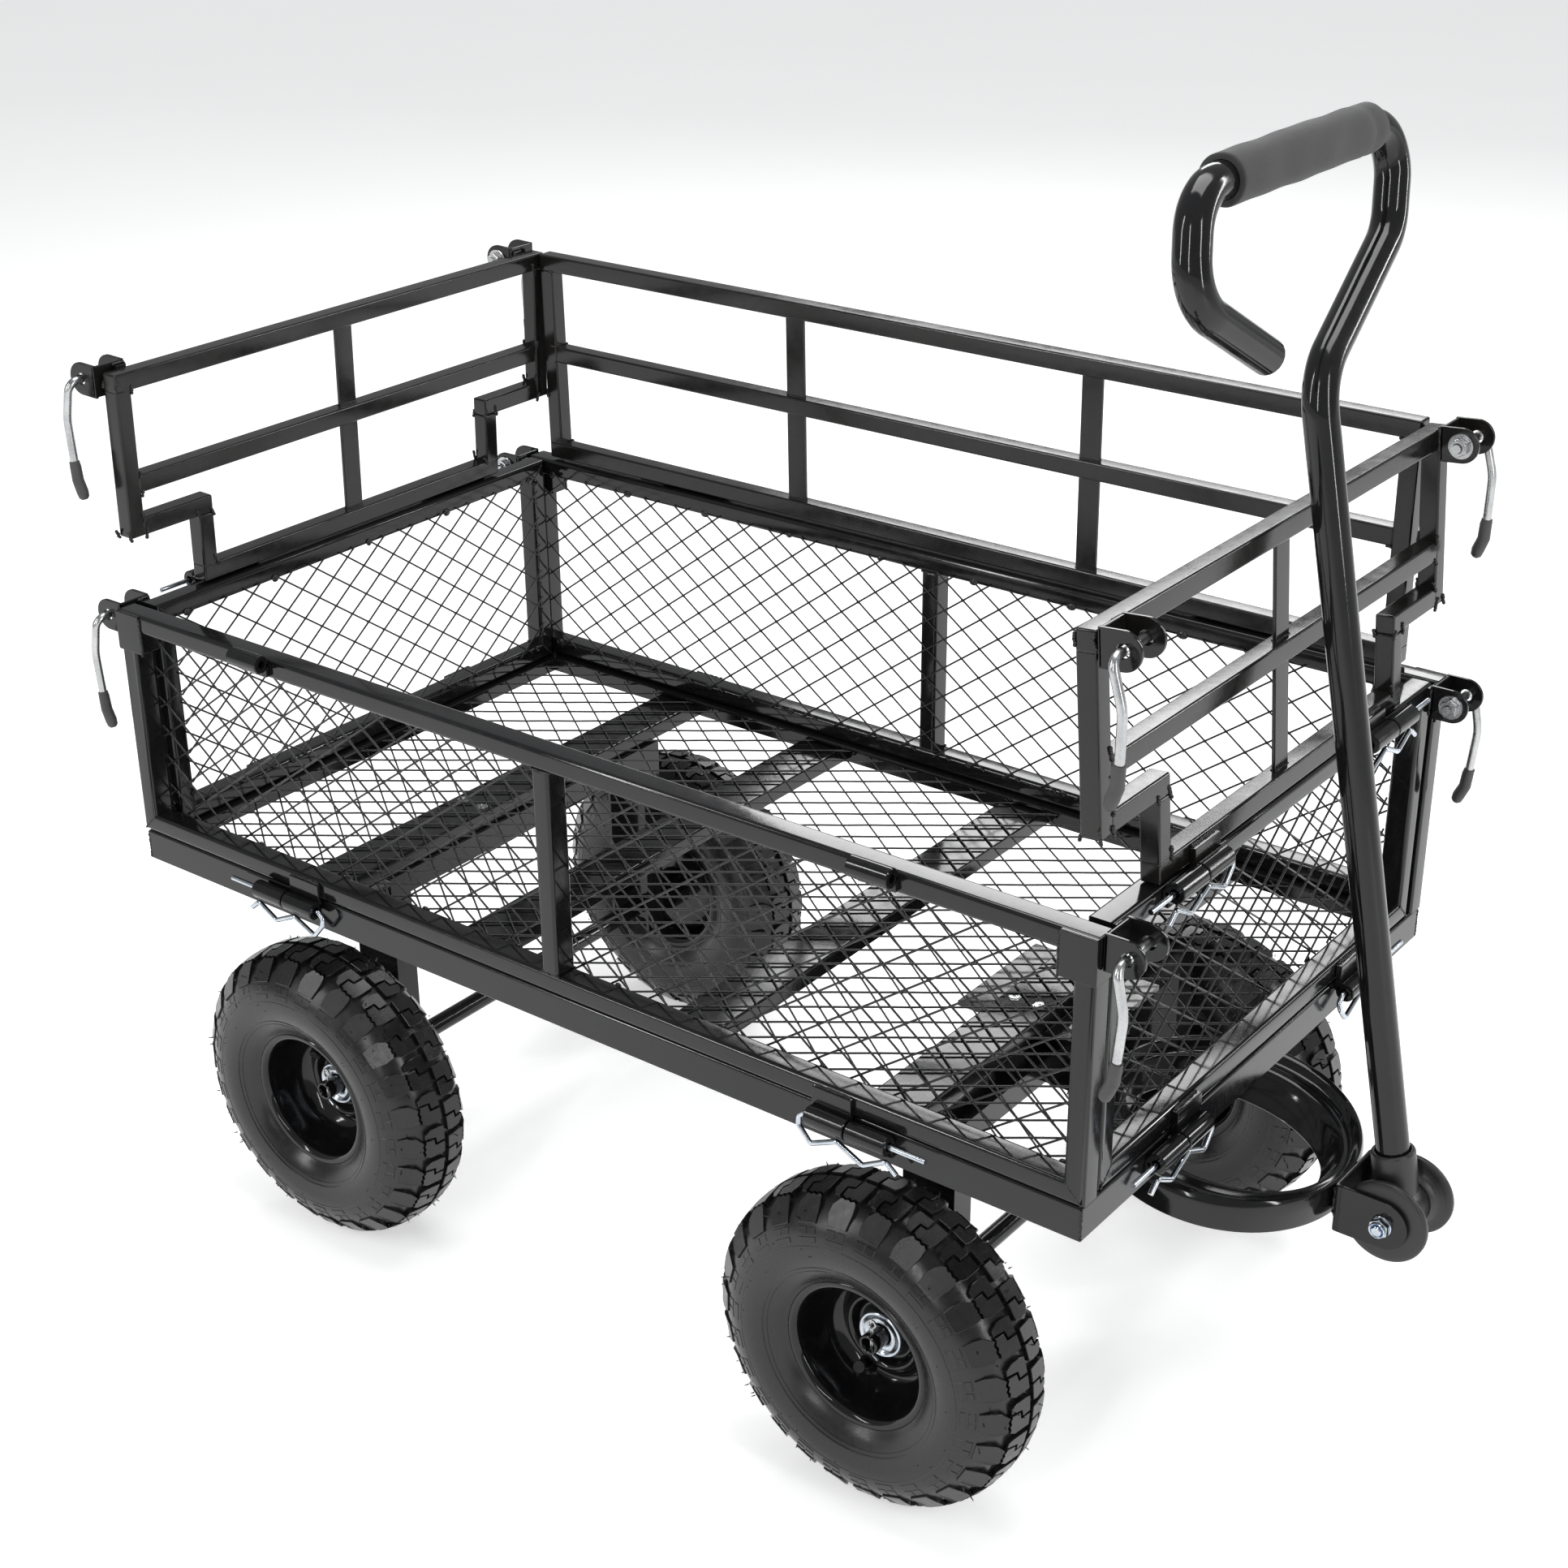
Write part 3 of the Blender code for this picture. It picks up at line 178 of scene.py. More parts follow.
def buildFineGrain():
    # orange peel, casting grain or pores, by scale and depth
    group, start, finish = newGroup(
        "fineGrain",
        [
            ("Vector", "NodeSocketVector", None),
            ("Grain Scale", "NodeSocketFloat", 400.0),
            ("Wave Scale", "NodeSocketFloat", 60.0),
            ("Grain Share", "NodeSocketFloat", 0.5),
        ],
        [("Height", "NodeSocketFloat")],
    )
    grain = noiseNode(group, start.outputs["Vector"], start.outputs["Grain Scale"], 3.0, 0.6)
    wave = noiseNode(group, start.outputs["Vector"], start.outputs["Wave Scale"], 2.0)
    share = start.outputs["Grain Share"]
    height = mathNode(
        group, "ADD", mathNode(group, "MULTIPLY", grain, share),
        mathNode(group, "MULTIPLY", wave, mathNode(group, "SUBTRACT", 1.0, share)),
    )
    group.links.new(height, finish.inputs["Height"])
    return group


unevenTone = buildUnevenTone()
lyingDust = buildLyingDust()
fineGrain = buildFineGrain()

finishes = {
    "glossEnamel": {
        "colour": (0.0045, 0.0046, 0.0051), "other": (0.0072, 0.0072, 0.0078), "patch": 14.0,
        "smooth": 0.07, "dull": 0.15, "dust": 0.03, "dustColour": (0.17, 0.16, 0.15),
        "grain": 900.0, "wave": 150.0, "share": 0.30, "bump": 0.06, "depth": 0.0005,
        "ior": 1.42,
    },
    "rackEnamel": {
        "colour": (0.0058, 0.0056, 0.0054), "other": (0.0098, 0.0091, 0.0083), "patch": 10.0,
        "smooth": 0.10, "dull": 0.22, "dust": 0.04, "dustColour": (0.18, 0.16, 0.14),
        "grain": 1000.0, "wave": 120.0, "share": 0.45, "bump": 0.10, "depth": 0.0005,
        "ior": 1.42,
    },
    "wireEnamel": {
        "colour": (0.0060, 0.0060, 0.0063), "other": (0.0100, 0.0100, 0.0105), "patch": 30.0,
        "smooth": 0.20, "dull": 0.36, "dust": 0.03, "dustColour": (0.2, 0.19, 0.18),
        "grain": 1200.0, "wave": 300.0, "share": 0.5, "bump": 0.15, "depth": 0.0003,
        "ior": 1.45,
    },
    "brightZinc": {
        "colour": (0.36, 0.365, 0.37), "other": (0.52, 0.525, 0.53), "patch": 55.0,
        "smooth": 0.16, "dull": 0.34, "dust": 0.10, "dustColour": (0.20, 0.19, 0.17),
        "grain": 1500.0, "wave": 420.0, "share": 0.5, "bump": 0.14, "depth": 0.0003,
        "metal": 1.0,
    },
    "blueZinc": {
        "colour": (0.40, 0.445, 0.50), "other": (0.58, 0.61, 0.64), "patch": 70.0,
        "smooth": 0.12, "dull": 0.28, "dust": 0.05, "dustColour": (0.25, 0.24, 0.22),
        "grain": 1500.0, "wave": 420.0, "share": 0.5, "bump": 0.10, "depth": 0.0003,
        "metal": 1.0,
    },
    "tyreRubber": {
        "colour": (0.0060, 0.0060, 0.0063), "other": (0.0092, 0.0090, 0.0088), "patch": 16.0,
        "smooth": 0.22, "dull": 0.34, "dust": 0.07, "dustColour": (0.060, 0.054, 0.047),
        "grain": 1300.0, "wave": 210.0, "share": 0.6, "bump": 0.14, "depth": 0.0005,
        "ior": 1.46,
    },
    "gripFoam": {
        "colour": (0.021, 0.021, 0.022), "other": (0.030, 0.030, 0.031), "patch": 24.0,
        "smooth": 0.66, "dull": 0.84, "dust": 0.10, "dustColour": (0.12, 0.115, 0.11),
        "grain": 1700.0, "wave": 500.0, "share": 0.7, "bump": 0.42, "depth": 0.0006,
        "sheen": 0.12, "ior": 1.45,
    },
    "mouldedPlastic": {
        "colour": (0.0100, 0.0100, 0.0104), "other": (0.0155, 0.0155, 0.0160), "patch": 26.0,
        "smooth": 0.32, "dull": 0.46, "dust": 0.08, "dustColour": (0.14, 0.13, 0.12),
        "grain": 1600.0, "wave": 260.0, "share": 0.7, "bump": 0.22, "depth": 0.0004,
        "ior": 1.49,
    },
    "vinylSleeve": {
        "colour": (0.030, 0.030, 0.031), "other": (0.052, 0.051, 0.049), "patch": 60.0,
        "smooth": 0.44, "dull": 0.62, "dust": 0.25, "dustColour": (0.14, 0.13, 0.12),
        "grain": 1500.0, "wave": 330.0, "share": 0.5, "bump": 0.28, "depth": 0.0005,
        "ior": 1.49,
    },
    "nylonInsert": {
        "colour": (0.015, 0.10, 0.34), "other": (0.03, 0.16, 0.44), "patch": 90.0,
        "smooth": 0.38, "dull": 0.50, "dust": 0.05, "dustColour": (0.2, 0.2, 0.2),
        "grain": 1500.0, "wave": 400.0, "share": 0.5, "bump": 0.1, "depth": 0.0003,
        "ior": 1.5,
    },
    "paleFloor": {
        "colour": (0.90, 0.90, 0.90), "other": (0.92, 0.92, 0.92), "patch": 1.5,
        "smooth": 0.60, "dull": 0.66, "dust": 0.0, "dustColour": (0.9, 0.9, 0.9),
        "grain": 300.0, "wave": 40.0, "share": 0.5, "bump": 0.02, "depth": 0.0002,
        "glow": 0.42,
    },
}


def addGroup(tree, group, values):
    node = tree.nodes.new("ShaderNodeGroup")
    node.node_tree = group
    for label, value in values.items():
        node.inputs[label].default_value = value
    return node


def makeFinish(name, look):
    material = bpy.data.materials.new(name)
    material.use_nodes = True
    tree = material.node_tree
    shader = tree.nodes["Principled BSDF"]
    coords = tree.nodes.new("ShaderNodeTexCoord").outputs["Object"]
    tone = addGroup(tree, unevenTone, {
        "Colour": (*look["colour"], 1), "Other Colour": (*look["other"], 1), "Patch Scale": look["patch"],
        "Smooth": look["smooth"], "Dull": look["dull"],
    })
    dust = addGroup(tree, lyingDust, {"Dust Colour": (*look["dustColour"], 1), "Amount": look["dust"]})
    grain = addGroup(tree, fineGrain, {
        "Grain Scale": look["grain"], "Wave Scale": look["wave"], "Grain Share": look["share"],
    })
    bump = tree.nodes.new("ShaderNodeBump")
    bump.inputs["Strength"].default_value = look["bump"]
    bump.inputs["Distance"].default_value = look["depth"]
    for node in (tone, dust, grain):
        tree.links.new(coords, node.inputs["Vector"])
    tree.links.new(tone.outputs["Colour"], dust.inputs["Colour"])
    tree.links.new(tone.outputs["Roughness"], dust.inputs["Roughness"])
    tree.links.new(dust.outputs["Colour"], shader.inputs["Base Color"])
    tree.links.new(dust.outputs["Roughness"], shader.inputs["Roughness"])
    tree.links.new(grain.outputs["Height"], bump.inputs["Height"])
    tree.links.new(bump.outputs["Normal"], shader.inputs["Normal"])
    shader.inputs["Metallic"].default_value = look.get("metal", 0.0)
    shader.inputs["IOR"].default_value = look.get("ior", 1.5)
    shader.inputs["Coat Weight"].default_value = look.get("coat", 0.0)
    shader.inputs["Coat Roughness"].default_value = look.get("coatRoughness", 0.03)
    shader.inputs["Sheen Weight"].default_value = look.get("sheen", 0.0)
    shader.inputs["Emission Color"].default_value = (1.0, 1.0, 1.0, 1)
    shader.inputs["Emission Strength"].default_value = look.get("glow", 0.0)
    return material


finish = {name: makeFinish(name, look) for name, look in finishes.items()}
print("finishes made:", len(finish))


# shapes that every piece is made from
def turnTo(axis, centre=(0, 0, 0)):
    return Matrix.Translation(Vector(centre)) @ zAxis.rotation_difference(Vector(axis)).to_matrix().to_4x4()


def pourInto(bm, extra, matrix=None):
    # adds one bmesh to another, placed by the matrix
    if matrix is not None:
        bmesh.ops.transform(extra, matrix=matrix, verts=extra.verts)
        if matrix.determinant() < 0:
            bmesh.ops.reverse_faces(extra, faces=extra.faces)
    mesh = bpy.data.meshes.new("pour")
    extra.to_mesh(mesh)
    extra.free()
    bm.from_mesh(mesh)
    bpy.data.meshes.remove(mesh)


def addBar(bm, low, high, soften=0.0018, segments=2, matrix=None):
    extra = bmesh.new()
    low, high = Vector(low), Vector(high)
    bmesh.ops.create_cube(extra, size=1.0)
    bmesh.ops.scale(extra, vec=high - low, verts=extra.verts)
    bmesh.ops.translate(extra, vec=(low + high) / 2, verts=extra.verts)
    bmesh.ops.bevel(
        extra, geom=list(extra.edges), offset=soften, offset_type="OFFSET", segments=segments,
        profile=0.5, affect="EDGES", material=-1,
    )
    pourInto(bm, extra, matrix)


def addTurned(bm, outline, centre=(0, 0, 0), axis=(0, 0, 1), steps=48, closed=True, matrix=None):
    # an outline of (radius, height) spun about an axis
    extra = bmesh.new()
    verts = [extra.verts.new((radius, 0, height)) for radius, height in outline]
    pairs = list(zip(verts, verts[1:])) + ([(verts[-1], verts[0])] if closed else [])
    edges = [extra.edges.new(pair) for pair in pairs]
    bmesh.ops.spin(
        extra, geom=verts + edges, cent=(0, 0, 0), axis=(0, 0, 1), angle=2 * math.pi, steps=steps,
        use_merge=True,
    )
    bmesh.ops.remove_doubles(extra, verts=extra.verts, dist=0.000002)
    bmesh.ops.recalc_face_normals(extra, faces=extra.faces)
    place = turnTo(axis, centre)
    pourInto(bm, extra, matrix @ place if matrix is not None else place)


def addWire(bm, paths, radius, resolution=3, loop=False, swell=None, matrix=None):
    # round wire or tube along each path
    curve = bpy.data.curves.new("wire", "CURVE")
    curve.dimensions = "3D"
    curve.bevel_depth = radius
    curve.bevel_resolution = resolution
    curve.use_fill_caps = not loop
    for path in paths:
        spline = curve.splines.new("POLY")
        spline.points.add(len(path) - 1)
        for index, (point, place) in enumerate(zip(spline.points, path)):
            point.co = (*place, 1.0)
            point.radius = swell[index] if swell else 1.0
        spline.use_cyclic_u = loop
    pourInto(bm, meshOfCurve(curve), matrix)


def meshOfCurve(curve):
    holder = bpy.data.objects.new("holder", curve)
    mesh = bpy.data.meshes.new_from_object(holder)
    extra = bmesh.new()
    extra.from_mesh(mesh)
    bpy.data.objects.remove(holder)
    bpy.data.curves.remove(curve)
    bpy.data.meshes.remove(mesh)
    bmesh.ops.remove_doubles(extra, verts=extra.verts, dist=0.00002)
    bmesh.ops.recalc_face_normals(extra, faces=extra.faces)
    return extra


def addPlate(bm, loops, low, high, across, soften=0.0004, matrix=None):
    # a flat outline with holes, given thickness along x, y or z
    curve = bpy.data.curves.new("plate", "CURVE")
    curve.dimensions = "2D"
    curve.fill_mode = "BOTH"
    curve.extrude = (high - low) / 2 - soften
    curve.bevel_depth = soften
    curve.bevel_resolution = 1
    curve.offset = -soften
    for loop in loops:
        spline = curve.splines.new("POLY")
        spline.points.add(len(loop) - 1)
        for point, (u, v) in zip(spline.points, loop):
            point.co = (u, v, 0, 1)
        spline.use_cyclic_u = True
    sides = {"x": (yAxis, zAxis, xAxis), "y": (xAxis, zAxis, -yAxis), "z": (xAxis, yAxis, zAxis)}[across]
    middle = {"x": xAxis, "y": yAxis, "z": zAxis}[across] * (low + high) / 2
    place = Matrix.Translation(middle) @ Matrix(sides).transposed().to_4x4()
    pourInto(bm, meshOfCurve(curve), matrix @ place if matrix is not None else place)


def roundedPath(points, radii, steps=8):
    # straight runs joined by arcs at the inner corners
    points = [Vector(p) for p in points]
    out = [points[0]]
    for before, corner, after, radius in zip(points, points[1:], points[2:], radii):
        back = (before - corner).normalized()
        ahead = (after - corner).normalized()
        half = back.angle(ahead) / 2
        reach = radius / math.tan(half)
        middle = corner + (back + ahead).normalized() * radius / math.sin(half)
        start = corner + back * reach - middle
        turn = start.rotation_difference(corner + ahead * reach - middle)
        for i in range(steps + 1):
            out.append(middle + Matrix.Rotation(turn.angle * i / steps, 3, turn.axis) @ start)
    out.append(points[-1])
    return out


def roundedOutline(points, radius, steps=3):
    # a closed outline of (u, v) with every corner rounded
    out = []
    count = len(points)
    for i in range(count):
        before, corner, after = (Vector((*points[j % count], 0)) for j in (i - 1, i, i + 1))
        shortest = min((before - corner).length, (after - corner).length)
        back, ahead = (before - corner).normalized(), (after - corner).normalized()
        half = back.angle(ahead) / 2
        limit = min(radius, shortest * 0.45 * math.tan(half))
        reach = limit / math.tan(half)
        middle = corner + (back + ahead).normalized() * limit / math.sin(half)
        start = corner + back * reach - middle
        turn = start.rotation_difference(corner + ahead * reach - middle)
        for k in range(steps + 1):
            spot = middle + Matrix.Rotation(turn.angle * k / steps, 3, turn.axis) @ start
            out.append((spot.x, spot.y))
    return out


def addMitredFrame(bm, halfU, halfV, profile, place):
    # a rectangular frame of one rolled section; profile is (inset, depth), and place puts u, v, depth
    extra = bmesh.new()
    rings = []
    for u, v in ((-1, -1), (1, -1), (1, 1), (-1, 1)):
        ring = [extra.verts.new((u * (halfU - inset), v * (halfV - inset), depth)) for inset, depth in profile]
        edges = [extra.edges.new(pair) for pair in zip(ring, ring[1:] + ring[:1])]
        rings.append(edges)
    for first, second in zip(rings, rings[1:] + rings[:1]):
        bmesh.ops.bridge_loops(extra, edges=first + second)
    bmesh.ops.remove_doubles(extra, verts=extra.verts, dist=0.000002)
    bmesh.ops.recalc_face_normals(extra, faces=extra.faces)
    pourInto(bm, extra, place)


def addBead(bm, start, end, size=0.0016, matrix=None):
    # a run of weld ripples
    start, end = Vector(start), Vector(end)
    run = end - start
    count = max(2, int(run.length / (size * 1.05)))
    extra = bmesh.new()
    for i in range(count + 1):
        spot = start + run * (i / count) + Vector([chance.uniform(-0.18, 0.18) * size for _ in range(3)])
        scale = size * chance.uniform(0.85, 1.1)
        bmesh.ops.create_icosphere(extra, subdivisions=2, radius=scale, matrix=Matrix.Translation(spot))
    pourInto(bm, extra, matrix)


collection = bpy.data.collections.new("gardenCart")
bpy.context.scene.collection.children.link(collection)


def finishPiece(name, bm, look, body, nodes=(), sharp=40):
    bmesh.ops.translate(bm, vec=deckShift, verts=bm.verts)
    limit = math.radians(sharp)
    for face in bm.faces:
        face.smooth = True
    for edge in bm.edges:
        edge.smooth = not (edge.is_manifold and edge.calc_face_angle(0) > limit)
    mesh = bpy.data.meshes.new(name)
    bm.to_mesh(mesh)
    bm.free()
    mesh.materials.append(finish[look])
    piece = bpy.data.objects.new(name, mesh)
    collection.objects.link(piece)
    even = piece.modifiers.new("evenShading", "WEIGHTED_NORMAL")
    even.keep_sharp = True
    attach(piece, body)
    if nodes:
        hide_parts(*nodes)
    return piece


def arcPoints(centre, radius, start, stop, steps):
    turn = (stop - start) / steps
    return [
        (centre[0] + radius * math.cos(start + turn * i), centre[1] + radius * math.sin(start + turn * i))
        for i in range(steps + 1)
    ]


# hinges, latches and nuts that several pieces share
hinge = {
    "radius": 0.0074, "bore": 0.0034, "length": 0.033, "space": 0.0015,
    "sidePlace": 0.278, "endPlace": 0.140, "sideAcross": 0.263, "endAcross": 0.466,
    "deckHeight": 0.3195, "rackHeight": 0.523, "bead": 0.0015,
}


def addBarrels(bm, alongX, sign, height, face, reach, upper, matrix=None):
    # two rolled barrels, each with its welded leaf; face is the member's outer face
    across = sign * (hinge["sideAcross"] if alongX else hinge["endAcross"])
    place = hinge["sidePlace"] if alongX else hinge["endPlace"]
    for side in (-1, 1):
        inner = place - hinge["space"] / 2 - hinge["length"] if upper else place + hinge["space"] / 2
        low, high = sorted((side * inner, side * (inner + hinge["length"])))
        middle, half = (low + high) / 2, (high - low) / 2
        r, b = hinge["radius"], hinge["bore"]
        ring = [
            (b, -half), (b, half), (r - 0.0007, half), (r, half - 0.0007), (r, 0.0007 - half),
            (r - 0.0007, -half)
        ]
        centre, axis = ((middle, across, height), xAxis) if alongX else ((across, middle, height), yAxis)
        addTurned(bm, ring, centre, axis, steps=20, matrix=matrix)
        leafIn, leafOut = sign * (abs(face) + 0.0002), sign * (abs(across) - b - 0.0004)
        spans = sorted((leafIn, leafOut)), sorted((height, reach))
        if alongX:
            addBar(bm, (low, spans[0][0], spans[1][0]), (high, spans[0][1], spans[1][1]), 0.0007, matrix=matrix)
            addBead(
                bm, (low + 0.003, face + sign * 0.001, reach), (high - 0.003, face + sign * 0.001, reach),
                hinge["bead"], matrix
            )
        else:
            addBar(bm, (spans[0][0], low, spans[1][0]), (spans[0][1], high, spans[1][1]), 0.0007, matrix=matrix)
            addBead(
                bm, (face + sign * 0.001, low + 0.003, reach), (face + sign * 0.001, high - 0.003, reach),
                hinge["bead"], matrix
            )


latch = {
    "earRadius": 0.0130, "thick": 0.0028, "outboard": 0.2495, "spacing": 0.027, "reach": 0.020,
    "standoff": 0.0037, "lowHeight": 0.514, "highHeight": 0.7122, "rod": 0.0033, "drop": 0.095,
    "sleeve": 0.030, "sleeveRadius": 0.0048, "endFace": 0.457,
}


def addLatchBracket(bm, sign, corner, height, matrix=None):
    # a bent channel with two round ears
    endFace, thick = latch["endFace"], latch["thick"]
    back = endFace + latch["standoff"]
    pivot = endFace + latch["reach"]
    inboard = latch["outboard"] - latch["spacing"]
    nose = arcPoints((pivot, height), latch["earRadius"], -math.pi / 2, math.pi / 2, 16)
    outline = nose + [(back, height + latch["earRadius"]), (back, height - latch["earRadius"])]
    outline = [(sign * u, v) for u, v in outline]
    hole = [(sign * u, v) for u, v in arcPoints((pivot, height), latch["rod"] + 0.0014, 0, 2 * math.pi, 16)[:-1]]
    for y in (corner * latch["outboard"], corner * inboard):
        addPlate(bm, [outline, hole], y - thick / 2, y + thick / 2, "y", 0.0005, matrix)
    ys = sorted((corner * (inboard - thick / 2), corner * (latch["outboard"] + thick / 2)))
    xs = sorted((sign * back, sign * (back + thick)))
    addBar(bm, (xs[0], ys[0], height - 0.0125), (xs[1], ys[1], height + 0.0125), 0.0009, matrix=matrix)
    xs = sorted((sign * (endFace - 0.0005), sign * (back + 0.001)))
    ys = sorted((corner * inboard, corner * 0.2318))
    addBar(bm, (xs[0], ys[0], height - 0.0098), (xs[1], ys[1], height + 0.0098), 0.0006, matrix=matrix)
    edge = sign * (back - 0.0006)
    for rise in (-0.0105, 0.0105):
        addBead(bm, (edge, ys[0], height + rise), (edge, ys[1], height + rise), 0.0015, matrix)
    addBead(
        bm, (edge, corner * (inboard - 0.0008), height - 0.009),
        (edge, corner * (inboard - 0.0008), height + 0.009), 0.0015, matrix
    )


def hexagon(radius):
    return [(radius * math.cos(math.pi * i / 3), radius * math.sin(math.pi * i / 3)) for i in range(6)]


def addHexNut(bm, centre, axis, radius, low, high, bore, matrix=None):
    # a hexagon with chamfered corners on a bore
    extra = bmesh.new()
    bmesh.ops.create_cone(
        extra, cap_ends=True, segments=6, radius1=radius, radius2=radius, depth=high - low,
        matrix=Matrix.Translation((0, 0, (low + high) / 2)),
    )
    bmesh.ops.bevel(
        extra, geom=list(extra.edges), offset=radius * 0.09, offset_type="OFFSET", segments=2,
        profile=0.5, affect="EDGES", material=-1,
    )
    place = turnTo(axis, centre)
    pourInto(bm, extra, matrix @ place if matrix is not None else place)
    cup = [
        (bore, high - 0.0003), (radius * 0.72, high - 0.0003), (radius * 0.70, high + 0.0006),
        (bore + 0.0006, high + 0.0006), (bore, high + 0.0001)
    ]
    addTurned(bm, cup, centre, axis, steps=24, matrix=matrix)


def leanOf(sign, angle, across, height):
    spot = Vector((sign * across, 0, height))
    return Matrix.Translation(spot) @ Matrix.Rotation(-sign * angle, 4, "Y") @ Matrix.Translation(-spot)


rackLean = {"front": math.radians(4.5), "rear": math.radians(1.5), "far": math.radians(1.0)}
endLean = {
    name: leanOf(sign, rackLean[name], hinge["endAcross"], hinge["rackHeight"]) for name,
    sign in endSigns.items()
}
farSpot = Vector((0, hinge["sideAcross"], hinge["rackHeight"]))
farLean = Matrix.Translation(farSpot) @ Matrix.Rotation(rackLean["far"], 4, "X") @ Matrix.Translation(-farSpot)


# the deck frame with its cross strips
deck = {
    "halfLength": 0.457, "halfWidth": 0.254, "top": 0.326, "flange": 0.027, "wall": 0.003,
    "ledge": 0.026, "fold": 0.0032, "strips": (-0.280, -0.110, 0.105, 0.284), "stripWidth": 0.042,
    "stripHeight": 0.014, "stripTop": 0.3204,
}


def buildDeck():
    bm = bmesh.new()
    bottom, top, wall, fold = deck["top"] - deck["flange"], deck["top"], deck["wall"], deck["fold"]
    bend = [
        (fold - fold * math.cos(a), top - fold + fold * math.sin(a)) for a in [math.pi / 2 * i / 5 for i in range(6)]
    ]
    section = [(0.0006, bottom), (0.0, bottom + 0.0006)] + bend + [
        (deck["ledge"] - 0.0008, top), (deck["ledge"], top - 0.0008), (deck["ledge"], top - wall + 0.0004),
        (deck["ledge"] - 0.0006, top - wall), (wall + 0.001, top - wall), (wall, top - wall - 0.001),
        (wall, bottom + 0.0004), (wall - 0.0005, bottom),
    ]
    addMitredFrame(bm, deck["halfLength"], deck["halfWidth"], section, None)
    half, height, thick = deck["stripWidth"] / 2, deck["stripHeight"], 0.0025
    for place in deck["strips"]:
        outline = [
            (place - half, deck["stripTop"] - height), (place - half, deck["stripTop"]),
            (place + half, deck["stripTop"]), (place + half, deck["stripTop"] - height),
            (place + half - thick, deck["stripTop"] - height), (place + half - thick, deck["stripTop"] - thick),
            (place - half + thick, deck["stripTop"] - thick), (place - half + thick, deck["stripTop"] - height),
        ]
        addPlate(bm, [roundedOutline(outline, 0.002, 2)], -0.2515, 0.2515, "y", 0.0004)
        for sign in (-1, 1):
            for edge in (-half, half):
                addBead(
                    bm, (place + edge, sign * 0.2500, deck["stripTop"] - 0.012),
                    (place + edge, sign * 0.2500, deck["stripTop"] - 0.002), 0.0017
                )
    for sign in (-1, 1):
        addBarrels(bm, True, sign, hinge["deckHeight"], sign * deck["halfWidth"], hinge["deckHeight"] - 0.012, False)
        addBarrels(
            bm, False, sign, hinge["deckHeight"], sign * deck["halfLength"], hinge["deckHeight"] - 0.012, False
        )
        for other in (-1, 1):  # corner welds
            x, y = sign * (deck["halfLength"] - 0.0006), other * (deck["halfWidth"] - 0.0006)
            addBead(bm, (x, y, bottom + 0.002), (x, y, top - 0.003), 0.0013)
            addBead(
                bm, (x - sign * 0.002, y - other * 0.002, top - 0.0004),
                (x - sign * 0.024, y - other * 0.024, top - 0.0004), 0.0009
            )
    finishPiece("deckFrame", bm, "glossEnamel", "cart", ["deck_frame"])


# expanded wire mesh in the floor and the panels
netting = {
    "longDiamond": 0.0362, "shortDiamond": 0.0266, "wire": 0.00082, "lift": 0.00045, "knot": 0.00135,
    "spot": 0.0031, "spotEvery": 0.094,
    "sideHalf": 0.4455, "endHalf": 0.2192, "panelRise": 0.099 - 0.013, "panelMiddle": 0.4255,
    "sideAcross": 0.2343, "endAcross": 0.4355,
}


def clipLine(point, direction, halfU, halfV):
    # where a line crosses the rectangle
    low, high = -1e9, 1e9
    for value, step, half in ((point[0], direction[0], halfU), (point[1], direction[1], halfV)):
        first, second = sorted(((-half - value) / step, (half - value) / step))
        low, high = max(low, first), min(high, second)
    return (low, high) if high - low > 0.004 else None


def addNetting(bm, halfU, halfV, longAlongU, place):
    pitchU = netting["longDiamond"] if longAlongU else netting["shortDiamond"]
    pitchV = netting["shortDiamond"] if longAlongU else netting["longDiamond"]
    offset = chance.uniform(0, pitchU)
    strands = []
    for tilt in (1, -1):
        direction = (pitchU / 2, tilt * pitchV / 2)
        reach = halfU + halfV * pitchU / pitchV + pitchU
        for index in range(-int(reach / pitchU) - 1, int(reach / pitchU) + 2):
            start = (index * pitchU + offset, 0.0)
            cut = clipLine(start, direction, halfU, halfV)
            if not cut:
                continue
            # crossings fall at every half step along the strand
            stops = [cut[0]] + [k for k in range(math.ceil(cut[0] + 0.05), math.floor(cut[1] - 0.05) + 1)] + [cut[1]]
            path = []
            for k in stops:
                wave = netting["lift"] * tilt * (1 if round(k) % 2 else 0.55)
                path.append(Vector((start[0] + direction[0] * k, start[1] + direction[1] * k, wave)))
            strands.append(path)
    addWire(bm, strands, netting["wire"], 1, matrix=place)
    knots = bmesh.new()
    stepsU, stepsV = int(halfU / pitchU * 2) + 3, int(halfV / pitchV * 2) + 2
    for i in range(-stepsU, stepsU + 1):
        for j in range(-stepsV, stepsV + 1):
            u, v = offset + i * pitchU / 2, j * pitchV / 2
            if (i + j) % 2 or abs(u) > halfU - 0.002 or abs(v) > halfV - 0.002:
                continue
            size = netting["knot"] * chance.uniform(0.85, 1.15)
            spot = Matrix.Translation((u, v, 0)) @ Matrix.Diagonal((size * 1.25, size, size * 0.9, 1))
            bmesh.ops.create_icosphere(knots, subdivisions=1, radius=1.0, matrix=spot)
    pourInto(bm, knots, place)


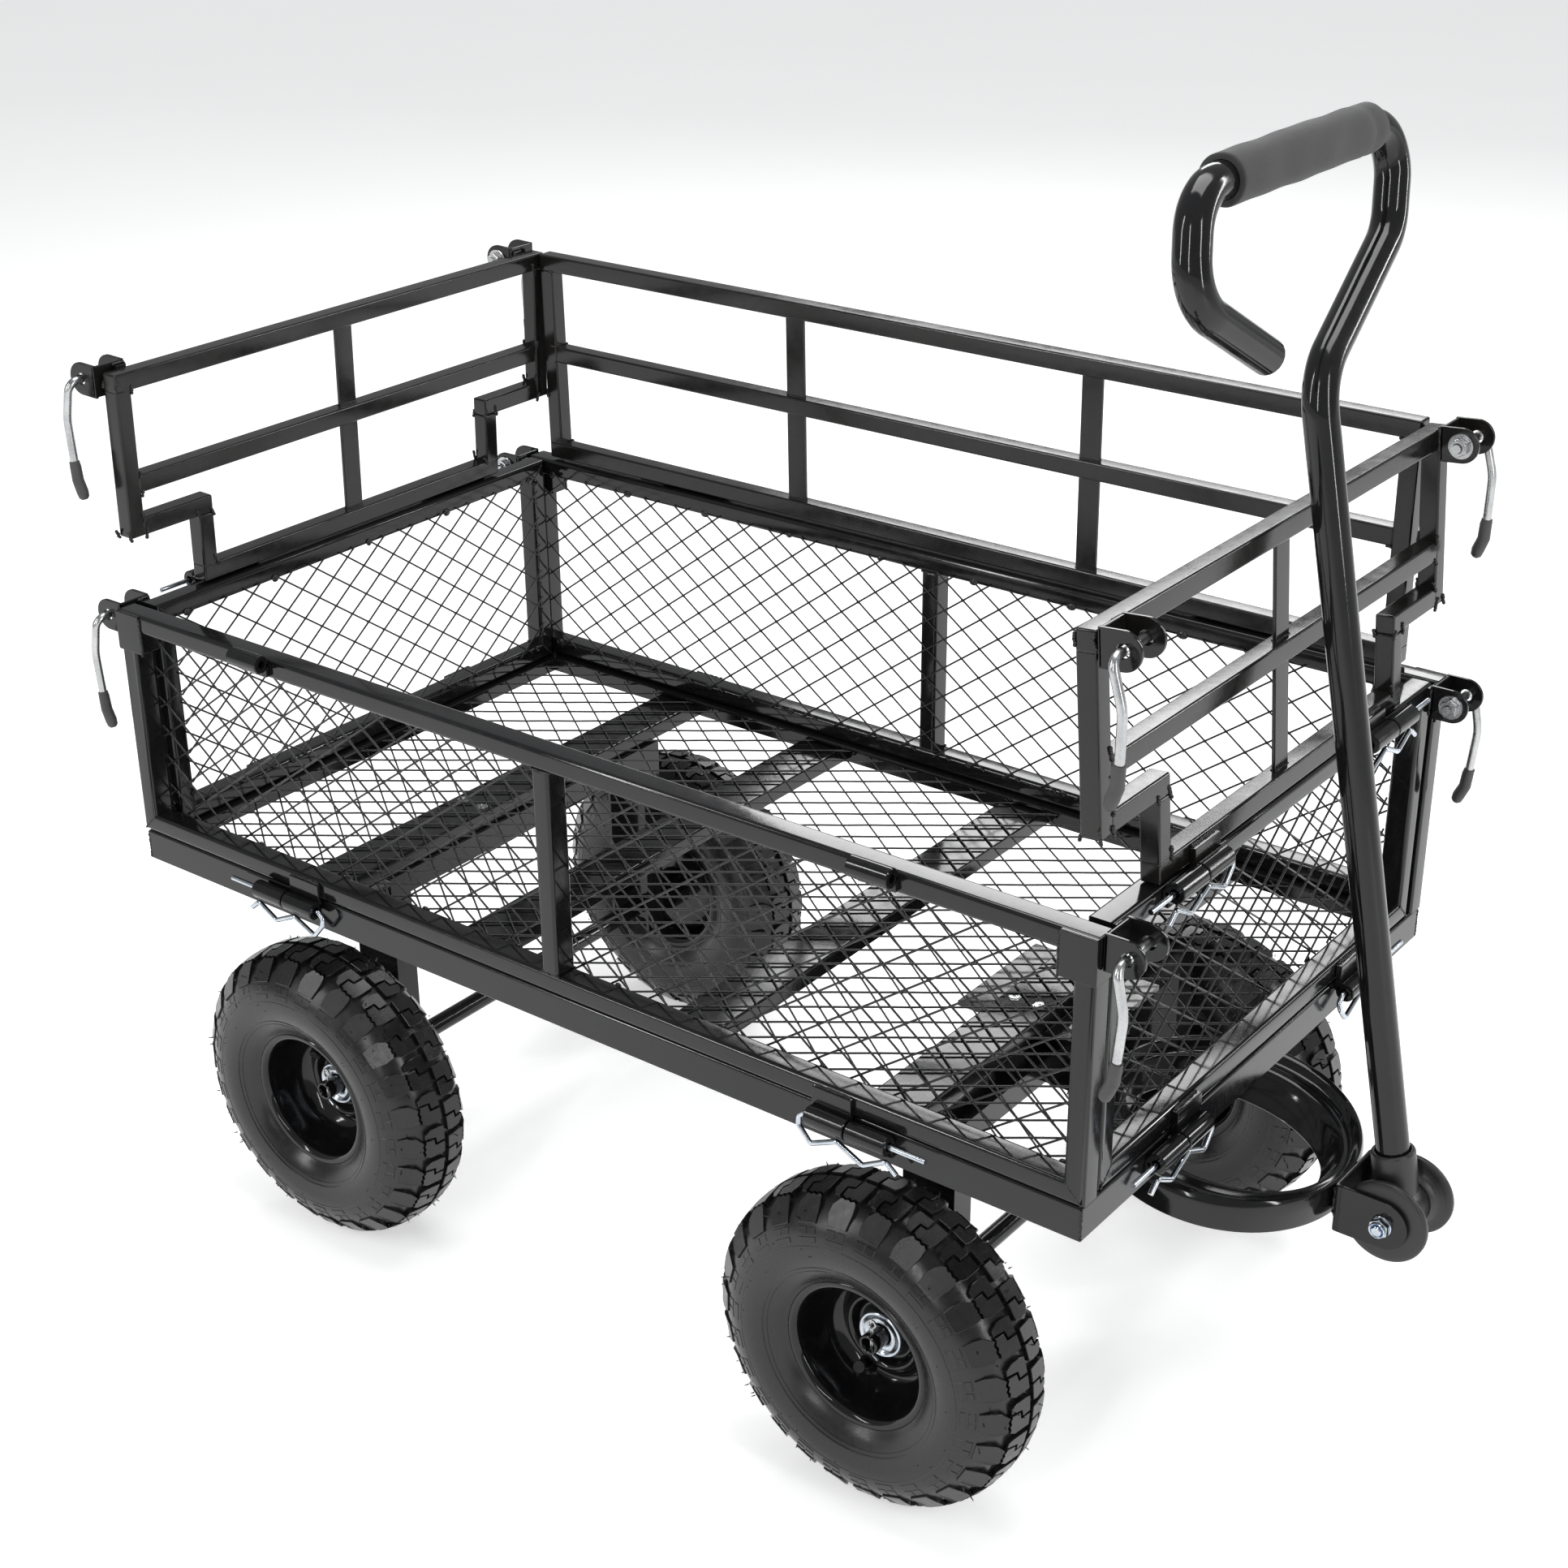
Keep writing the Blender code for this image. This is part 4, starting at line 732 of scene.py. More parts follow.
def addSpotWelds(bm, halfU, halfV, place):
    # blobs of weld where the net meets its frame
    blobs = bmesh.new()
    def drop(u, v):
        size = netting["spot"] * chance.uniform(0.7, 1.15)
        spot = Matrix.Translation((u, v, 0.0004)) @ Matrix.Diagonal(
            (size * chance.uniform(0.9, 1.5), size, size * 0.45, 1)
        )
        bmesh.ops.create_icosphere(blobs, subdivisions=2, radius=1.0, matrix=spot)
    for half, other, flip in ((halfU, halfV, False), (halfV, halfU, True)):
        count = int(2 * half / netting["spotEvery"])
        for i in range(count + 1):
            along = -half + 0.012 + (2 * half - 0.024) * i / max(1, count) + chance.uniform(-0.006, 0.006)
            for side in (-1, 1):
                drop(*((side * other, along) if flip else (along, side * other)))
    pourInto(bm, blobs, place)


def placeOn(origin, u, v):
    # a matrix that lays (u, v, depth) on two directions from an origin
    u, v = Vector(u), Vector(v)
    return Matrix.Translation(Vector(origin)) @ Matrix((u, v, u.cross(v))).transposed().to_4x4()


def buildNetting():
    top = deck["top"] - deck["wall"] - 0.0013
    bm = bmesh.new()
    addNetting(bm, deck["halfLength"] - 0.006, deck["halfWidth"] - 0.006, True, placeOn((0, 0, top), xAxis, yAxis))
    finishPiece("floorNet", bm, "wireEnamel", "cart", ["floor_mesh"], 80)
    middle, rise = netting["panelMiddle"], netting["panelRise"]
    for name, sign in sideSigns.items():
        bm = bmesh.new()
        place = placeOn((0, sign * netting["sideAcross"], middle), xAxis * -sign, zAxis)
        addNetting(bm, netting["sideHalf"], rise, True, place)
        addSpotWelds(bm, 0.4442, rise - 0.0010, placeOn((0, sign * 0.2350, middle), xAxis * -sign, zAxis))
        finishPiece(f"{name}PanelNet", bm, "wireEnamel", f"{name}_panel", [f"{name}_panel_mesh"], 80)
    for name, sign in endSigns.items():
        bm = bmesh.new()
        place = placeOn((sign * netting["endAcross"], 0, middle), yAxis * sign, zAxis)
        addNetting(bm, netting["endHalf"], rise, True, place)
        addSpotWelds(bm, 0.2180, rise - 0.0010, placeOn((sign * 0.4360, 0, middle), yAxis * sign, zAxis))
        finishPiece(f"{name}PanelNet", bm, "wireEnamel", f"{name}_panel", [f"{name}_panel_mesh"], 80)


# the four drop sides
panel = {
    "bottom": 0.3265, "top": 0.5245, "rail": 0.016, "depth": 0.020, "corner": 0.0034,
    "sideHalf": 0.4585, "sideFace": 0.2555, "endHalf": 0.2322, "endFace": 0.457, "tab": 0.034,
}


def tubeSection(width, depth, corner, steps=3):
    # the (inset, depth) outline of a square tube
    return roundedOutline([(0, -depth / 2), (0, depth / 2), (width, depth / 2), (width, -depth / 2)], corner, steps)


def buildSidePanel(name, sign):
    bm = bmesh.new()
    bottom, top, rail, depth = panel["bottom"], panel["top"], panel["rail"], panel["depth"]
    middle, rise = (bottom + top) / 2, (top - bottom) / 2
    outer, centre = sign * panel["sideFace"], sign * (panel["sideFace"] - depth / 2)
    section = tubeSection(rail, depth, panel["corner"])
    addMitredFrame(bm, panel["sideHalf"], rise, section, placeOn((0, centre, middle), xAxis, zAxis))
    addBar(
        bm, (-rail / 2, centre - depth / 2, bottom + rail - 0.001),
        (rail / 2, centre + depth / 2, top - rail + 0.001), 0.0028, 3
    )
    for edge in (-rail / 2, rail / 2):
        for z in (bottom + rail, top - rail):
            for y in (centre - depth / 2 + 0.001, centre + depth / 2 - 0.001):
                addBead(bm, (edge, y, z), (edge * 0.2, y, z), 0.0012)
    for end in (-1, 1):
        # welded mitres and the folded plate round the post's head
        x = end * panel["sideHalf"]
        for z, inward in ((bottom, 1), (top, -1)):
            addBead(
                bm, (x - end * 0.002, outer - sign * 0.0005, z + inward * 0.002),
                (x - end * 0.0145, outer - sign * 0.0005, z + inward * 0.0145), 0.0010
            )
        xs = sorted((x - end * 0.0262, x + end * 0.0016))
        ys = sorted((centre - sign * (depth / 2 - 0.002), outer + sign * 0.0013))
        addBar(bm, (xs[0], ys[0], top - panel["tab"]), (xs[1], ys[1], top - 0.0006), 0.0011, 2)
        addBead(
            bm, (x - end * 0.0265, outer + sign * 0.0004, top - panel["tab"]),
            (x - end * 0.0265, outer + sign * 0.0004, top - 0.004), 0.0012
        )
    addBarrels(bm, True, sign, hinge["deckHeight"], outer, bottom + 0.014, True)
    addBarrels(bm, True, sign, hinge["rackHeight"], outer, hinge["rackHeight"] - 0.012, False)
    finishPiece(f"{name}PanelFrame", bm, "glossEnamel", f"{name}_panel", [f"{name}_panel_frame"])


def buildEndPanel(name, sign):
    bm = bmesh.new()
    bottom, top, rail, depth = panel["bottom"], panel["top"], panel["rail"], panel["depth"]
    middle, rise = (bottom + top) / 2, (top - bottom) / 2
    outer, centre = sign * panel["endFace"], sign * (panel["endFace"] - depth / 2)
    addMitredFrame(
        bm, panel["endHalf"], rise, tubeSection(rail, depth, panel["corner"]),
        placeOn((centre, 0, middle), yAxis, zAxis)
    )
    for side in (-1, 1):
        y = side * panel["endHalf"]
        for z, inward in ((bottom, 1), (top, -1)):
            addBead(
                bm, (outer - sign * 0.0004, y - side * 0.002, z + inward * 0.002),
                (outer - sign * 0.0004, y - side * 0.0145, z + inward * 0.0145), 0.0010
            )
            addBead(
                bm, (outer - sign * (depth - 0.0004), y - side * 0.004, z + inward * 0.004),
                (outer - sign * (depth - 0.0004), y - side * 0.0145, z + inward * 0.0145), 0.0010
            )
        addLatchBracket(bm, sign, side, latch["lowHeight"])
    addBarrels(bm, False, sign, hinge["deckHeight"], outer, bottom + 0.014, True)
    addBarrels(bm, False, sign, hinge["rackHeight"], outer, hinge["rackHeight"] - 0.012, False)
    finishPiece(f"{name}PanelFrame", bm, "glossEnamel", f"{name}_panel", [f"{name}_panel_frame"])


# the rack frames above the panels
rack = {
    "bottom": 0.5272, "height": 0.193, "tube": 0.015, "soft": 0.0017, "halfWidth": 0.246,
    "notchRise": 0.058, "notchRun": 0.070, "middleRise": 0.0935, "posts": (-0.147, 0.147),
    "postWidth": 0.019, "postThick": 0.003, "postSetback": 0.0045,
    "farRear": -0.43518, "farFront": 0.42458, "farFace": 0.255,
}


def buildFarRack():
    bm = bmesh.new()
    size, bottom, top = rack["tube"], rack["bottom"], rack["bottom"] + rack["height"]
    y0, y1 = rack["farFace"] - size, rack["farFace"]
    low, high = rack["farRear"], rack["farFront"]
    middle = bottom + rack["middleRise"]
    def bar(x0, z0, x1, z1, inset=0.0):
        addBar(bm, (x0, y0 + inset, z0), (x1, y1 - inset, z1), rack["soft"], 3, farLean)
    bar(low, bottom, high, bottom + size)
    bar(low, top - size, high, top)
    bar(low + size - 0.001, middle, high - size + 0.001, middle + size, 0.0001)
    for x in (low, high - size):
        bar(x, bottom + size - 0.0015, x + size, top - size + 0.0015)
    wide, face = rack["postWidth"] / 2, y0 + rack["postSetback"]
    spans = (bottom + size - 0.001, middle + 0.001), (middle + size - 0.001, top - size + 0.001)
    for x in rack["posts"]:
        for foot, head in spans:
            addBar(bm, (x - wide, face, foot), (x + wide, face + rack["postThick"], head), 0.0007, 2, farLean)
            for z in (foot + 0.001, head - 0.001):
                addBead(
                    bm, (x - wide + 0.001, face - 0.0002, z), (x + wide - 0.001, face - 0.0002, z), 0.0010,
                    farLean
                )
    for x in (low + size, high - size):
        for z in (bottom + size, middle, middle + size, top - size):
            for y in (y0, y1):
                if chance.random() < 0.75:
                    addBead(
                        bm, (x, y, z),
                        (x + chance.uniform(-0.005, 0.005), y, z + chance.uniform(-0.003, 0.003)), 0.0014,
                        farLean
                    )
    addBarrels(bm, True, 1, hinge["rackHeight"], rack["farFace"], bottom + 0.012, True, farLean)
    finishPiece("farRackFrame", bm, "rackEnamel", "far_rack", ["far_rack_frame"])


def buildEndRack(name, sign):
    bm = bmesh.new()
    lean = endLean[name]
    size, bottom, top = rack["tube"], rack["bottom"], rack["bottom"] + rack["height"]
    x0, x1 = sorted((sign * panel["endFace"], sign * (panel["endFace"] - size)))
    half, jog = rack["halfWidth"], rack["halfWidth"] - rack["notchRun"]
    step, middle = bottom + rack["notchRise"], bottom + rack["middleRise"]
    def bar(ya, za, yb, zb, inset=0.0):
        ya, yb = sorted((ya, yb))
        addBar(bm, (x0 + inset, ya, za), (x1 - inset, yb, zb), rack["soft"], 3, lean)
    bar(-jog, bottom, jog, bottom + size)
    bar(-half, top - size, half, top)
    bar(-half + size - 0.001, middle, half - size + 0.001, middle + size, 0.0001)
    wide, face = rack["postWidth"] / 2, (x0 + x1 - rack["postThick"]) / 2
    for foot, head in ((bottom + size - 0.001, middle + 0.001), (middle + size - 0.001, top - size + 0.001)):
        addBar(bm, (face, -wide, foot), (face + rack["postThick"], wide, head), 0.0007, 2, lean)
        for z in (foot + 0.001, head - 0.001):
            for x in (face - 0.0002, face + rack["postThick"] + 0.0002):
                addBead(bm, (x, 0.001 - wide, z), (x, wide - 0.001, z), 0.0010, lean)
    joints = []
    for side in (-1, 1):
        bar(side * (jog - size), bottom + size - 0.0015, side * jog, step + 0.0002)
        bar(side * (jog - size), step, side * (half - size + 0.0015), step + size)
        bar(side * (half - size), step, side * half, top - size + 0.0015, 0.0001)
        joints += [
            (
                side * (jog - size), bottom + size
            ), (side * jog, step), (side * (jog - size), step), (side * (half - size), step + size),
            (side * (half - size), step), (side * (half - size), middle), (side * (half - size), middle + size),
            (side * (half - size), top - size), (side * half, step + 0.001), (side * half, top - size * 0.6),
        ]
    for y, z in joints:
        for x in (x0, x1):
            addBead(
                bm, (x, y, z - 0.002), (x, y + chance.uniform(-0.004, 0.004), z + chance.uniform(0.002, 0.007)),
                0.0015, lean
            )
    for side in (-1, 1):
        addLatchBracket(bm, sign, side, latch["highHeight"], lean)
    addBarrels(bm, False, sign, hinge["rackHeight"], sign * panel["endFace"], bottom + 0.012, True, lean)
    finishPiece(f"{name}RackFrame", bm, "rackEnamel", f"{name}_rack", [f"{name}_rack_frame"])


# the rods that latch each corner
def buildLever(end, corner, level):
    sign, side = endSigns[end], sideSigns[corner]
    height = latch["lowHeight"] if level == "low" else latch["highHeight"]
    lean = endLean[end] if level == "high" else Matrix.Identity(4)
    pivotX = sign * (latch["endFace"] + latch["reach"])
    inside = side * (latch["outboard"] - latch["spacing"])
    outside = side * (latch["outboard"] + 0.0135)
    bulge, foot = sign * 0.0068, height - latch["drop"]
    sleeveTop = foot + latch["sleeve"]
    path = roundedPath(
        [
            (pivotX, inside - side * 0.0105, height), (pivotX, outside, height),
            (pivotX + bulge, outside, height - 0.032), (pivotX + bulge * 0.62, outside, sleeveTop + 0.004),
            (pivotX + bulge * 0.45, outside, sleeveTop - 0.006),
        ],
        [0.0085, 0.045, 0.05], 10,
    )
    bm = bmesh.new()
    addWire(bm, [path], latch["rod"], 5, matrix=lean)
    centre = (pivotX, inside - side * 0.0016, height)
    washer = [
        (latch["rod"] + 0.0002, 0.0), (0.0092, 0.0), (0.0095, 0.0004), (0.0092, 0.0013),
        (latch["rod"] + 0.0002, 0.0013)
    ]
    addTurned(bm, washer, centre, yAxis * -side, 32, matrix=lean)
    addHexNut(bm, centre, yAxis * -side, 0.0072, 0.0013, 0.0062, latch["rod"] + 0.0001, lean)
    name = f"{end}{corner.capitalize()}{level.capitalize()}"
    body = f"{end}_{corner}_{level}_latch"
    finishPiece(f"{name}Lever", bm, "brightZinc", body, [f"{end}_{corner}_{level}_lever"])
    bm = bmesh.new()
    grip = [
        Vector((pivotX + bulge * 0.62, outside, sleeveTop)), Vector(
            (pivotX + bulge * 0.48, outside, sleeveTop - 0.004)
        ),
        Vector(
            (pivotX + bulge * 0.30, outside, (sleeveTop + foot) / 2)
        ), Vector((pivotX - sign * 0.0020, outside, foot + 0.006)),
        Vector((pivotX - sign * 0.0034, outside, foot + 0.0018)), Vector((pivotX - sign * 0.0040, outside, foot)),
    ]
    addWire(bm, [grip], latch["sleeveRadius"], 6, swell=[0.84, 0.93, 0.97, 1.0, 0.86, 0.5], matrix=lean)
    finishPiece(f"{name}LeverSleeve", bm, "vinylSleeve", body, (), 60)


# wire clips through the hinge barrels
clip = {"wire": 0.0020, "tip": 0.030, "bend": 0.0034}


def buildClip(node, place, across, height, alongX, body):
    side = 1 if place > 0 else -1
    start = abs(place) - hinge["length"] - hinge["space"] / 2 - 0.004
    end = abs(place) + hinge["length"] + hinge["space"] / 2 + clip["tip"]
    waves = [
        (end, 0.0), (start + 0.001, 0.0), (start - 0.004, 0.0045), (start - 0.0035, 0.0105),
        (start + 0.0065, 0.0222), (start + 0.029, 0.0118), (start + 0.051, 0.0224),
        (start + 0.070, 0.0118), (start + 0.079, 0.0192),
    ]
    out = 1 if across > 0 else -1
    points = []
    for index, (reach, hang) in enumerate(waves):
        proud = across + out * (0.0012 if index > 2 else 0.0)
        points.append((side * reach, proud, height - hang) if alongX else (proud, side * reach, height - hang))
    bend = clip["bend"]
    path = roundedPath(points, [0.0030, 0.0030, 0.0045, bend, bend, bend, bend], 6)
    bm = bmesh.new()
    addWire(bm, [path], clip["wire"], 4)
    words = node.split("_")
    finishPiece(
        words[0] + "".join(w.capitalize() for w in words[1:]), bm, "blueZinc", body, [node], 60
    )


# tyres, rims, caps, valves and axles
tyre = {
    "pitches": 26, "treadHigh": 0.0042,
    "section": [
        (0.0, 0.1256), (0.0080, 0.1254), (0.0160, 0.1240), (0.0240, 0.1205), (0.0310, 0.1150),
        (0.0365, 0.1080), (0.0400, 0.1000), (0.0417, 0.0910), (0.0412, 0.0820), (0.0385, 0.0735),
        (0.0345, 0.0660), (0.0312, 0.0618), (0.0296, 0.0596),
    ],
}


def sectionTable():
    # the carcass outline as (distance from the crown, across, radius)
    points = [Vector((w, r, 0)) for w, r in tyre["section"]]
    table, travelled, last = [], 0.0, None
    for i in range(len(points) - 1):
        p0, p1, p2, p3 = points[max(i - 1, 0)], points[i], points[i + 1], points[min(i + 2, len(points) - 1)]
        if i == 0:
            p0 = Vector((-p2.x, p2.y, 0))
        for k in range(8):
            t = k / 8
            spot = 0.5 * (
                2 * p1 + (p2 - p0) * t + (2 * p0 - 5 * p1 + 4 * p2 - p3) * t * t
                + (3 * p1 - p0 - 3 * p2 + p3) * t ** 3
            )
            travelled += (spot - last).length if last else 0.0
            last = spot
            table.append((travelled, spot.x, spot.y))
    travelled += (points[-1] - last).length
    table.append((travelled, points[-1].x, points[-1].y))
    return table


carcass = sectionTable()


def onCarcass(angle, across, height):
    # a point standing off the carcass: angle round it, distance from the crown, height
    side = 1 if across >= 0 else -1
    reach = min(abs(across), carcass[-1][0] - 1e-6)
    for first, second in zip(carcass, carcass[1:]):
        if first[0] <= reach <= second[0]:
            t = (reach - first[0]) / (second[0] - first[0])
            w, r = first[1] + (second[1] - first[1]) * t, first[2] + (second[2] - first[2]) * t
            slope = Vector((second[1] - first[1], second[2] - first[2])).normalized()
            break
    w, r = w - slope.y * height, r + slope.x * height
    return Vector((r * math.cos(angle), side * w, r * math.sin(angle)))


def addTread(bm, outline, pitchAngle, turn, mirrorAcross, high, low, flip):
    # one tread block: outline in (share of a pitch, distance from the crown in mm)
    if flip:
        outline = [(1 - u, s) for u, s in outline]
    extra = bmesh.new()
    def height(s):
        blend = min(1.0, max(0.0, (s - 22) / 20))
        return high + (low - high) * blend
    base, crest = [], []
    for u, s in outline:
        angle, across = turn + u * pitchAngle, mirrorAcross * s / 1000
        base.append(extra.verts.new(onCarcass(angle, across, -0.0012)))
        crest.append(extra.verts.new(onCarcass(angle, across, height(s))))
    face = extra.faces.new(crest)
    count = len(outline)
    for i in range(count):
        j = (i + 1) % count
        extra.faces.new((base[i], base[j], crest[j], crest[i]))
    rim = list(face.edges)
    bmesh.ops.bevel(
        extra, geom=rim, offset=0.00042, offset_type="OFFSET", segments=1, profile=0.5, affect="EDGES", material=-1,
    )
    bmesh.ops.recalc_face_normals(extra, faces=extra.faces)
    # an open shell's outside is the side that looks away from the axle
    looksIn = sum(
        1 if f.normal.dot(
            Vector((f.calc_center_median().x, 0, f.calc_center_median().z))
        ) < 0 else -1 for f in extra.faces if len(f.verts) > 4
    )
    if looksIn > 0:
        bmesh.ops.reverse_faces(extra, faces=extra.faces)
    pourInto(bm, extra)


treadBlocks = [
    [
        (0.05, 2.2), (0.40, 2.2), (0.40, 12.4), (0.60, 12.4), (0.60, 19.8), (0.54, 18.6), (0.46, 20.8),
        (0.38, 18.8), (0.30, 21.0), (0.22, 19.0), (0.13, 20.6), (0.05, 16.0)
    ],
    [(0.455, 2.2), (0.86, 2.2), (0.90, 7.0), (0.90, 14.5), (0.80, 19.4), (0.655, 19.8), (0.655, 10.6), (0.455, 10.6)],
    [
        (0.10, 29.0), (0.14, 22.6), (0.22, 20.9), (0.30, 22.9), (0.38, 20.7), (0.46, 22.7), (0.54, 20.5),
        (0.60, 21.6), (0.74, 26.4), (0.78, 33.0), (0.74, 41.0), (0.14, 41.0)
    ],
]
sideRibs = [
    [(0.14, 43.2), (0.40, 43.2), (0.40, 48.6), (0.14, 48.6)],
    [(0.46, 43.2), (0.76, 43.2), (0.76, 48.6), (0.46, 48.6)],
    [(0.14, 50.4), (0.76, 50.4), (0.76, 54.6), (0.14, 54.6)],
]


def buildTyreMesh():
    bm = bmesh.new()
    outer = [(r, w) for _, w, r in carcass[::3]] + [(carcass[-1][2], carcass[-1][1])]
    bead = [(0.0590, 0.0290), (0.0570, 0.0270), (0.0545, 0.0255), (0.0540, 0.0240)]
    half = outer + bead
    outline = [(r, -w) for r, w in half[::-1]] + half[1:]
    addTurned(bm, outline, (0, 0, 0), yAxis, 104)
    pitchAngle = 2 * math.pi / tyre["pitches"]
    for index in range(tyre["pitches"]):
        for side in (-1, 1):
            turn = (index + (0.5 if side > 0 else 0.0)) * pitchAngle
            for block in treadBlocks:
                addTread(bm, block, pitchAngle, turn, side, tyre["treadHigh"], 0.0014, side > 0)
            for rib in sideRibs:
                addTread(bm, rib, pitchAngle, turn, side, 0.0006, 0.0005, side > 0)
    # mould rings and vent hairs
    for side in (-1, 1):
        for reach, size in ((57.5, 0.00035), (76.0, 0.0007), (79.5, 0.0005)):
            ring = [onCarcass(2 * math.pi * i / 96, side * reach / 1000, -size * 0.3) for i in range(96)]
            addWire(bm, [ring], size, 1, loop=True)
    hairs = bmesh.new()
    for index in range(tyre["pitches"] * 7):
        angle = chance.uniform(0, 2 * math.pi)
        reach = chance.choice((10, 16, 24, 33, 38, 46, 52, 60, 66)) * chance.choice((-1, 1)) / 1000
        ground = abs((angle + math.pi / 2 + math.pi) % (2 * math.pi) - math.pi)
        lift = tyre["treadHigh"] if abs(reach) < 0.022 else (0.0024 if abs(reach) < 0.041 else 0.0)
        long = 0.0005 if ground < 0.5 or abs(reach) > 0.045 else chance.uniform(0.0012, 0.0034)
        foot, tip = onCarcass(angle, reach, lift - 0.0003), onCarcass(
            angle + chance.uniform(-0.01, 0.01), reach, lift + long
        )
        place = turnTo(tip - foot, (foot + tip) / 2)
        bmesh.ops.create_cone(
            hairs, cap_ends=True, segments=5, radius1=0.0006, radius2=0.00025, depth=(tip - foot).length,
            matrix=place
        )
    pourInto(bm, hairs)
    return keepMesh(bm)


def keepMesh(bm):
    mesh = bpy.data.meshes.new("kept")
    bm.to_mesh(mesh)
    bm.free()
    return mesh


running = {"front": 0.284, "rear": -0.277, "height": 0.130, "track": 0.2318}

rim = {
    "outline": [
        (0.0600, 0.0270), (0.0604, 0.0286), (0.0598, 0.0299), (0.0580, 0.0306), (0.0556, 0.0300),
        (0.0536, 0.0284), (0.0524, 0.0256), (0.0518, 0.0200), (0.0512, 0.0100), (0.0500, 0.0020),
        (0.0474, -0.0046), (0.0434, -0.0092), (0.0392, -0.0110), (0.0356, -0.0104), (0.0336, -0.0072),
        (0.0322, -0.0040), (0.0300, -0.0026), (0.0276, -0.0030), (0.0262, -0.0052), (0.0250, -0.0092),
        (0.0232, -0.0108), (0.0204, -0.0106), (0.0190, -0.0090), (0.0189, -0.0056), (0.0184, -0.0046),
        (0.0083, -0.0046), (0.0083, -0.0565), (0.0184, -0.0565), (0.0190, -0.0559), (0.0190, -0.0160),
        (0.0250, -0.0150), (0.0380, -0.0160), (0.0450, -0.0140), (0.0490, -0.0080), (0.0500, -0.0180),
        (0.0512, -0.0250), (0.0530, -0.0284), (0.0556, -0.0300), (0.0580, -0.0306), (0.0598, -0.0299),
        (0.0604, -0.0286), (0.0600, -0.0270), (0.0560, -0.0262), (0.0534, -0.0246), (0.0528, -0.0200),
        (0.0528, 0.0200), (0.0534, 0.0246), (0.0560, 0.0262),
    ],
    "cap": [
        (0.0084, -0.0042), (0.0188, -0.0042), (0.0190, -0.0036), (0.0190, -0.0018), (0.0184, -0.0006),
        (0.0172, -0.0001), (0.0158, -0.0005), (0.0146, -0.0018), (0.0128, -0.0029), (0.0108, -0.0032),
        (0.0098, -0.0026), (0.0092, -0.0024), (0.0085, -0.0030),
    ],
    "valveRadius": 0.0425, "axleRadius": 0.0080, "axleBore": 0.0056,
}


def buildWheels():
    tyreMesh = buildTyreMesh()
    print("tyre made:", len(tyreMesh.polygons), "faces")
    track, axleHeight = running["track"], running["height"]
    for end in ("front", "rear"):
        x = running[end]
        for corner, sign in sideSigns.items():
            spin = {"front_near": 0.0, "front_far": 1.1, "rear_near": 2.3, "rear_far": 4.0}[f"{end}_{corner}"]
            body = f"{end}_{corner}_wheel"
            name = f"{end}{corner.capitalize()}"
            # local +Y is outboard; the hairs' short arc stays at the ground, so the tyre itself isn't spun
            place = Matrix.Translation((x, sign * track, axleHeight)) @ Matrix.Rotation(
                0 if sign > 0 else math.pi, 4, "Z"
            )
            bm = bmesh.new()
            bm.from_mesh(tyreMesh)
            bmesh.ops.transform(bm, matrix=place, verts=bm.verts)
            finishPiece(f"{name}Tyre", bm, "tyreRubber", body, [f"{body}_tyre"], 34)
            bm = bmesh.new()
            addTurned(bm, rim["outline"], (0, 0, 0), yAxis, 72, matrix=place)
            finishPiece(f"{name}Rim", bm, "glossEnamel", body, [f"{body}_rim"], 60)
            bm = bmesh.new()
            addTurned(bm, rim["cap"], (0, 0, 0), yAxis, 48, matrix=place)
            finishPiece(f"{name}HubCap", bm, "blueZinc", body, [f"{body}_hub_cap"], 50)
            bm = bmesh.new()
            angle = math.radians(-68) + spin
            foot = Vector((rim["valveRadius"] * math.cos(angle), -0.0110, rim["valveRadius"] * math.sin(angle)))
            stem = [
                (0.0, 0.0), (0.0078, 0.0), (0.0080, 0.0012), (0.0060, 0.0034), (0.0050, 0.0060), (0.0046, 0.0130),
                (0.0042, 0.0150), (0.0042, 0.0158), (0.0049, 0.0162), (0.0049, 0.0222),
                (0.0044, 0.0232), (0.0, 0.0232),
            ]
            tipped = Vector((-math.cos(angle) * 0.62, 1.0, -math.sin(angle) * 0.62))
            addTurned(bm, stem, foot, tipped, 20, closed=False, matrix=place)
            finishPiece(f"{name}ValveStem", bm, "tyreRubber", body, (), 50)
    bpy.data.meshes.remove(tyreMesh)


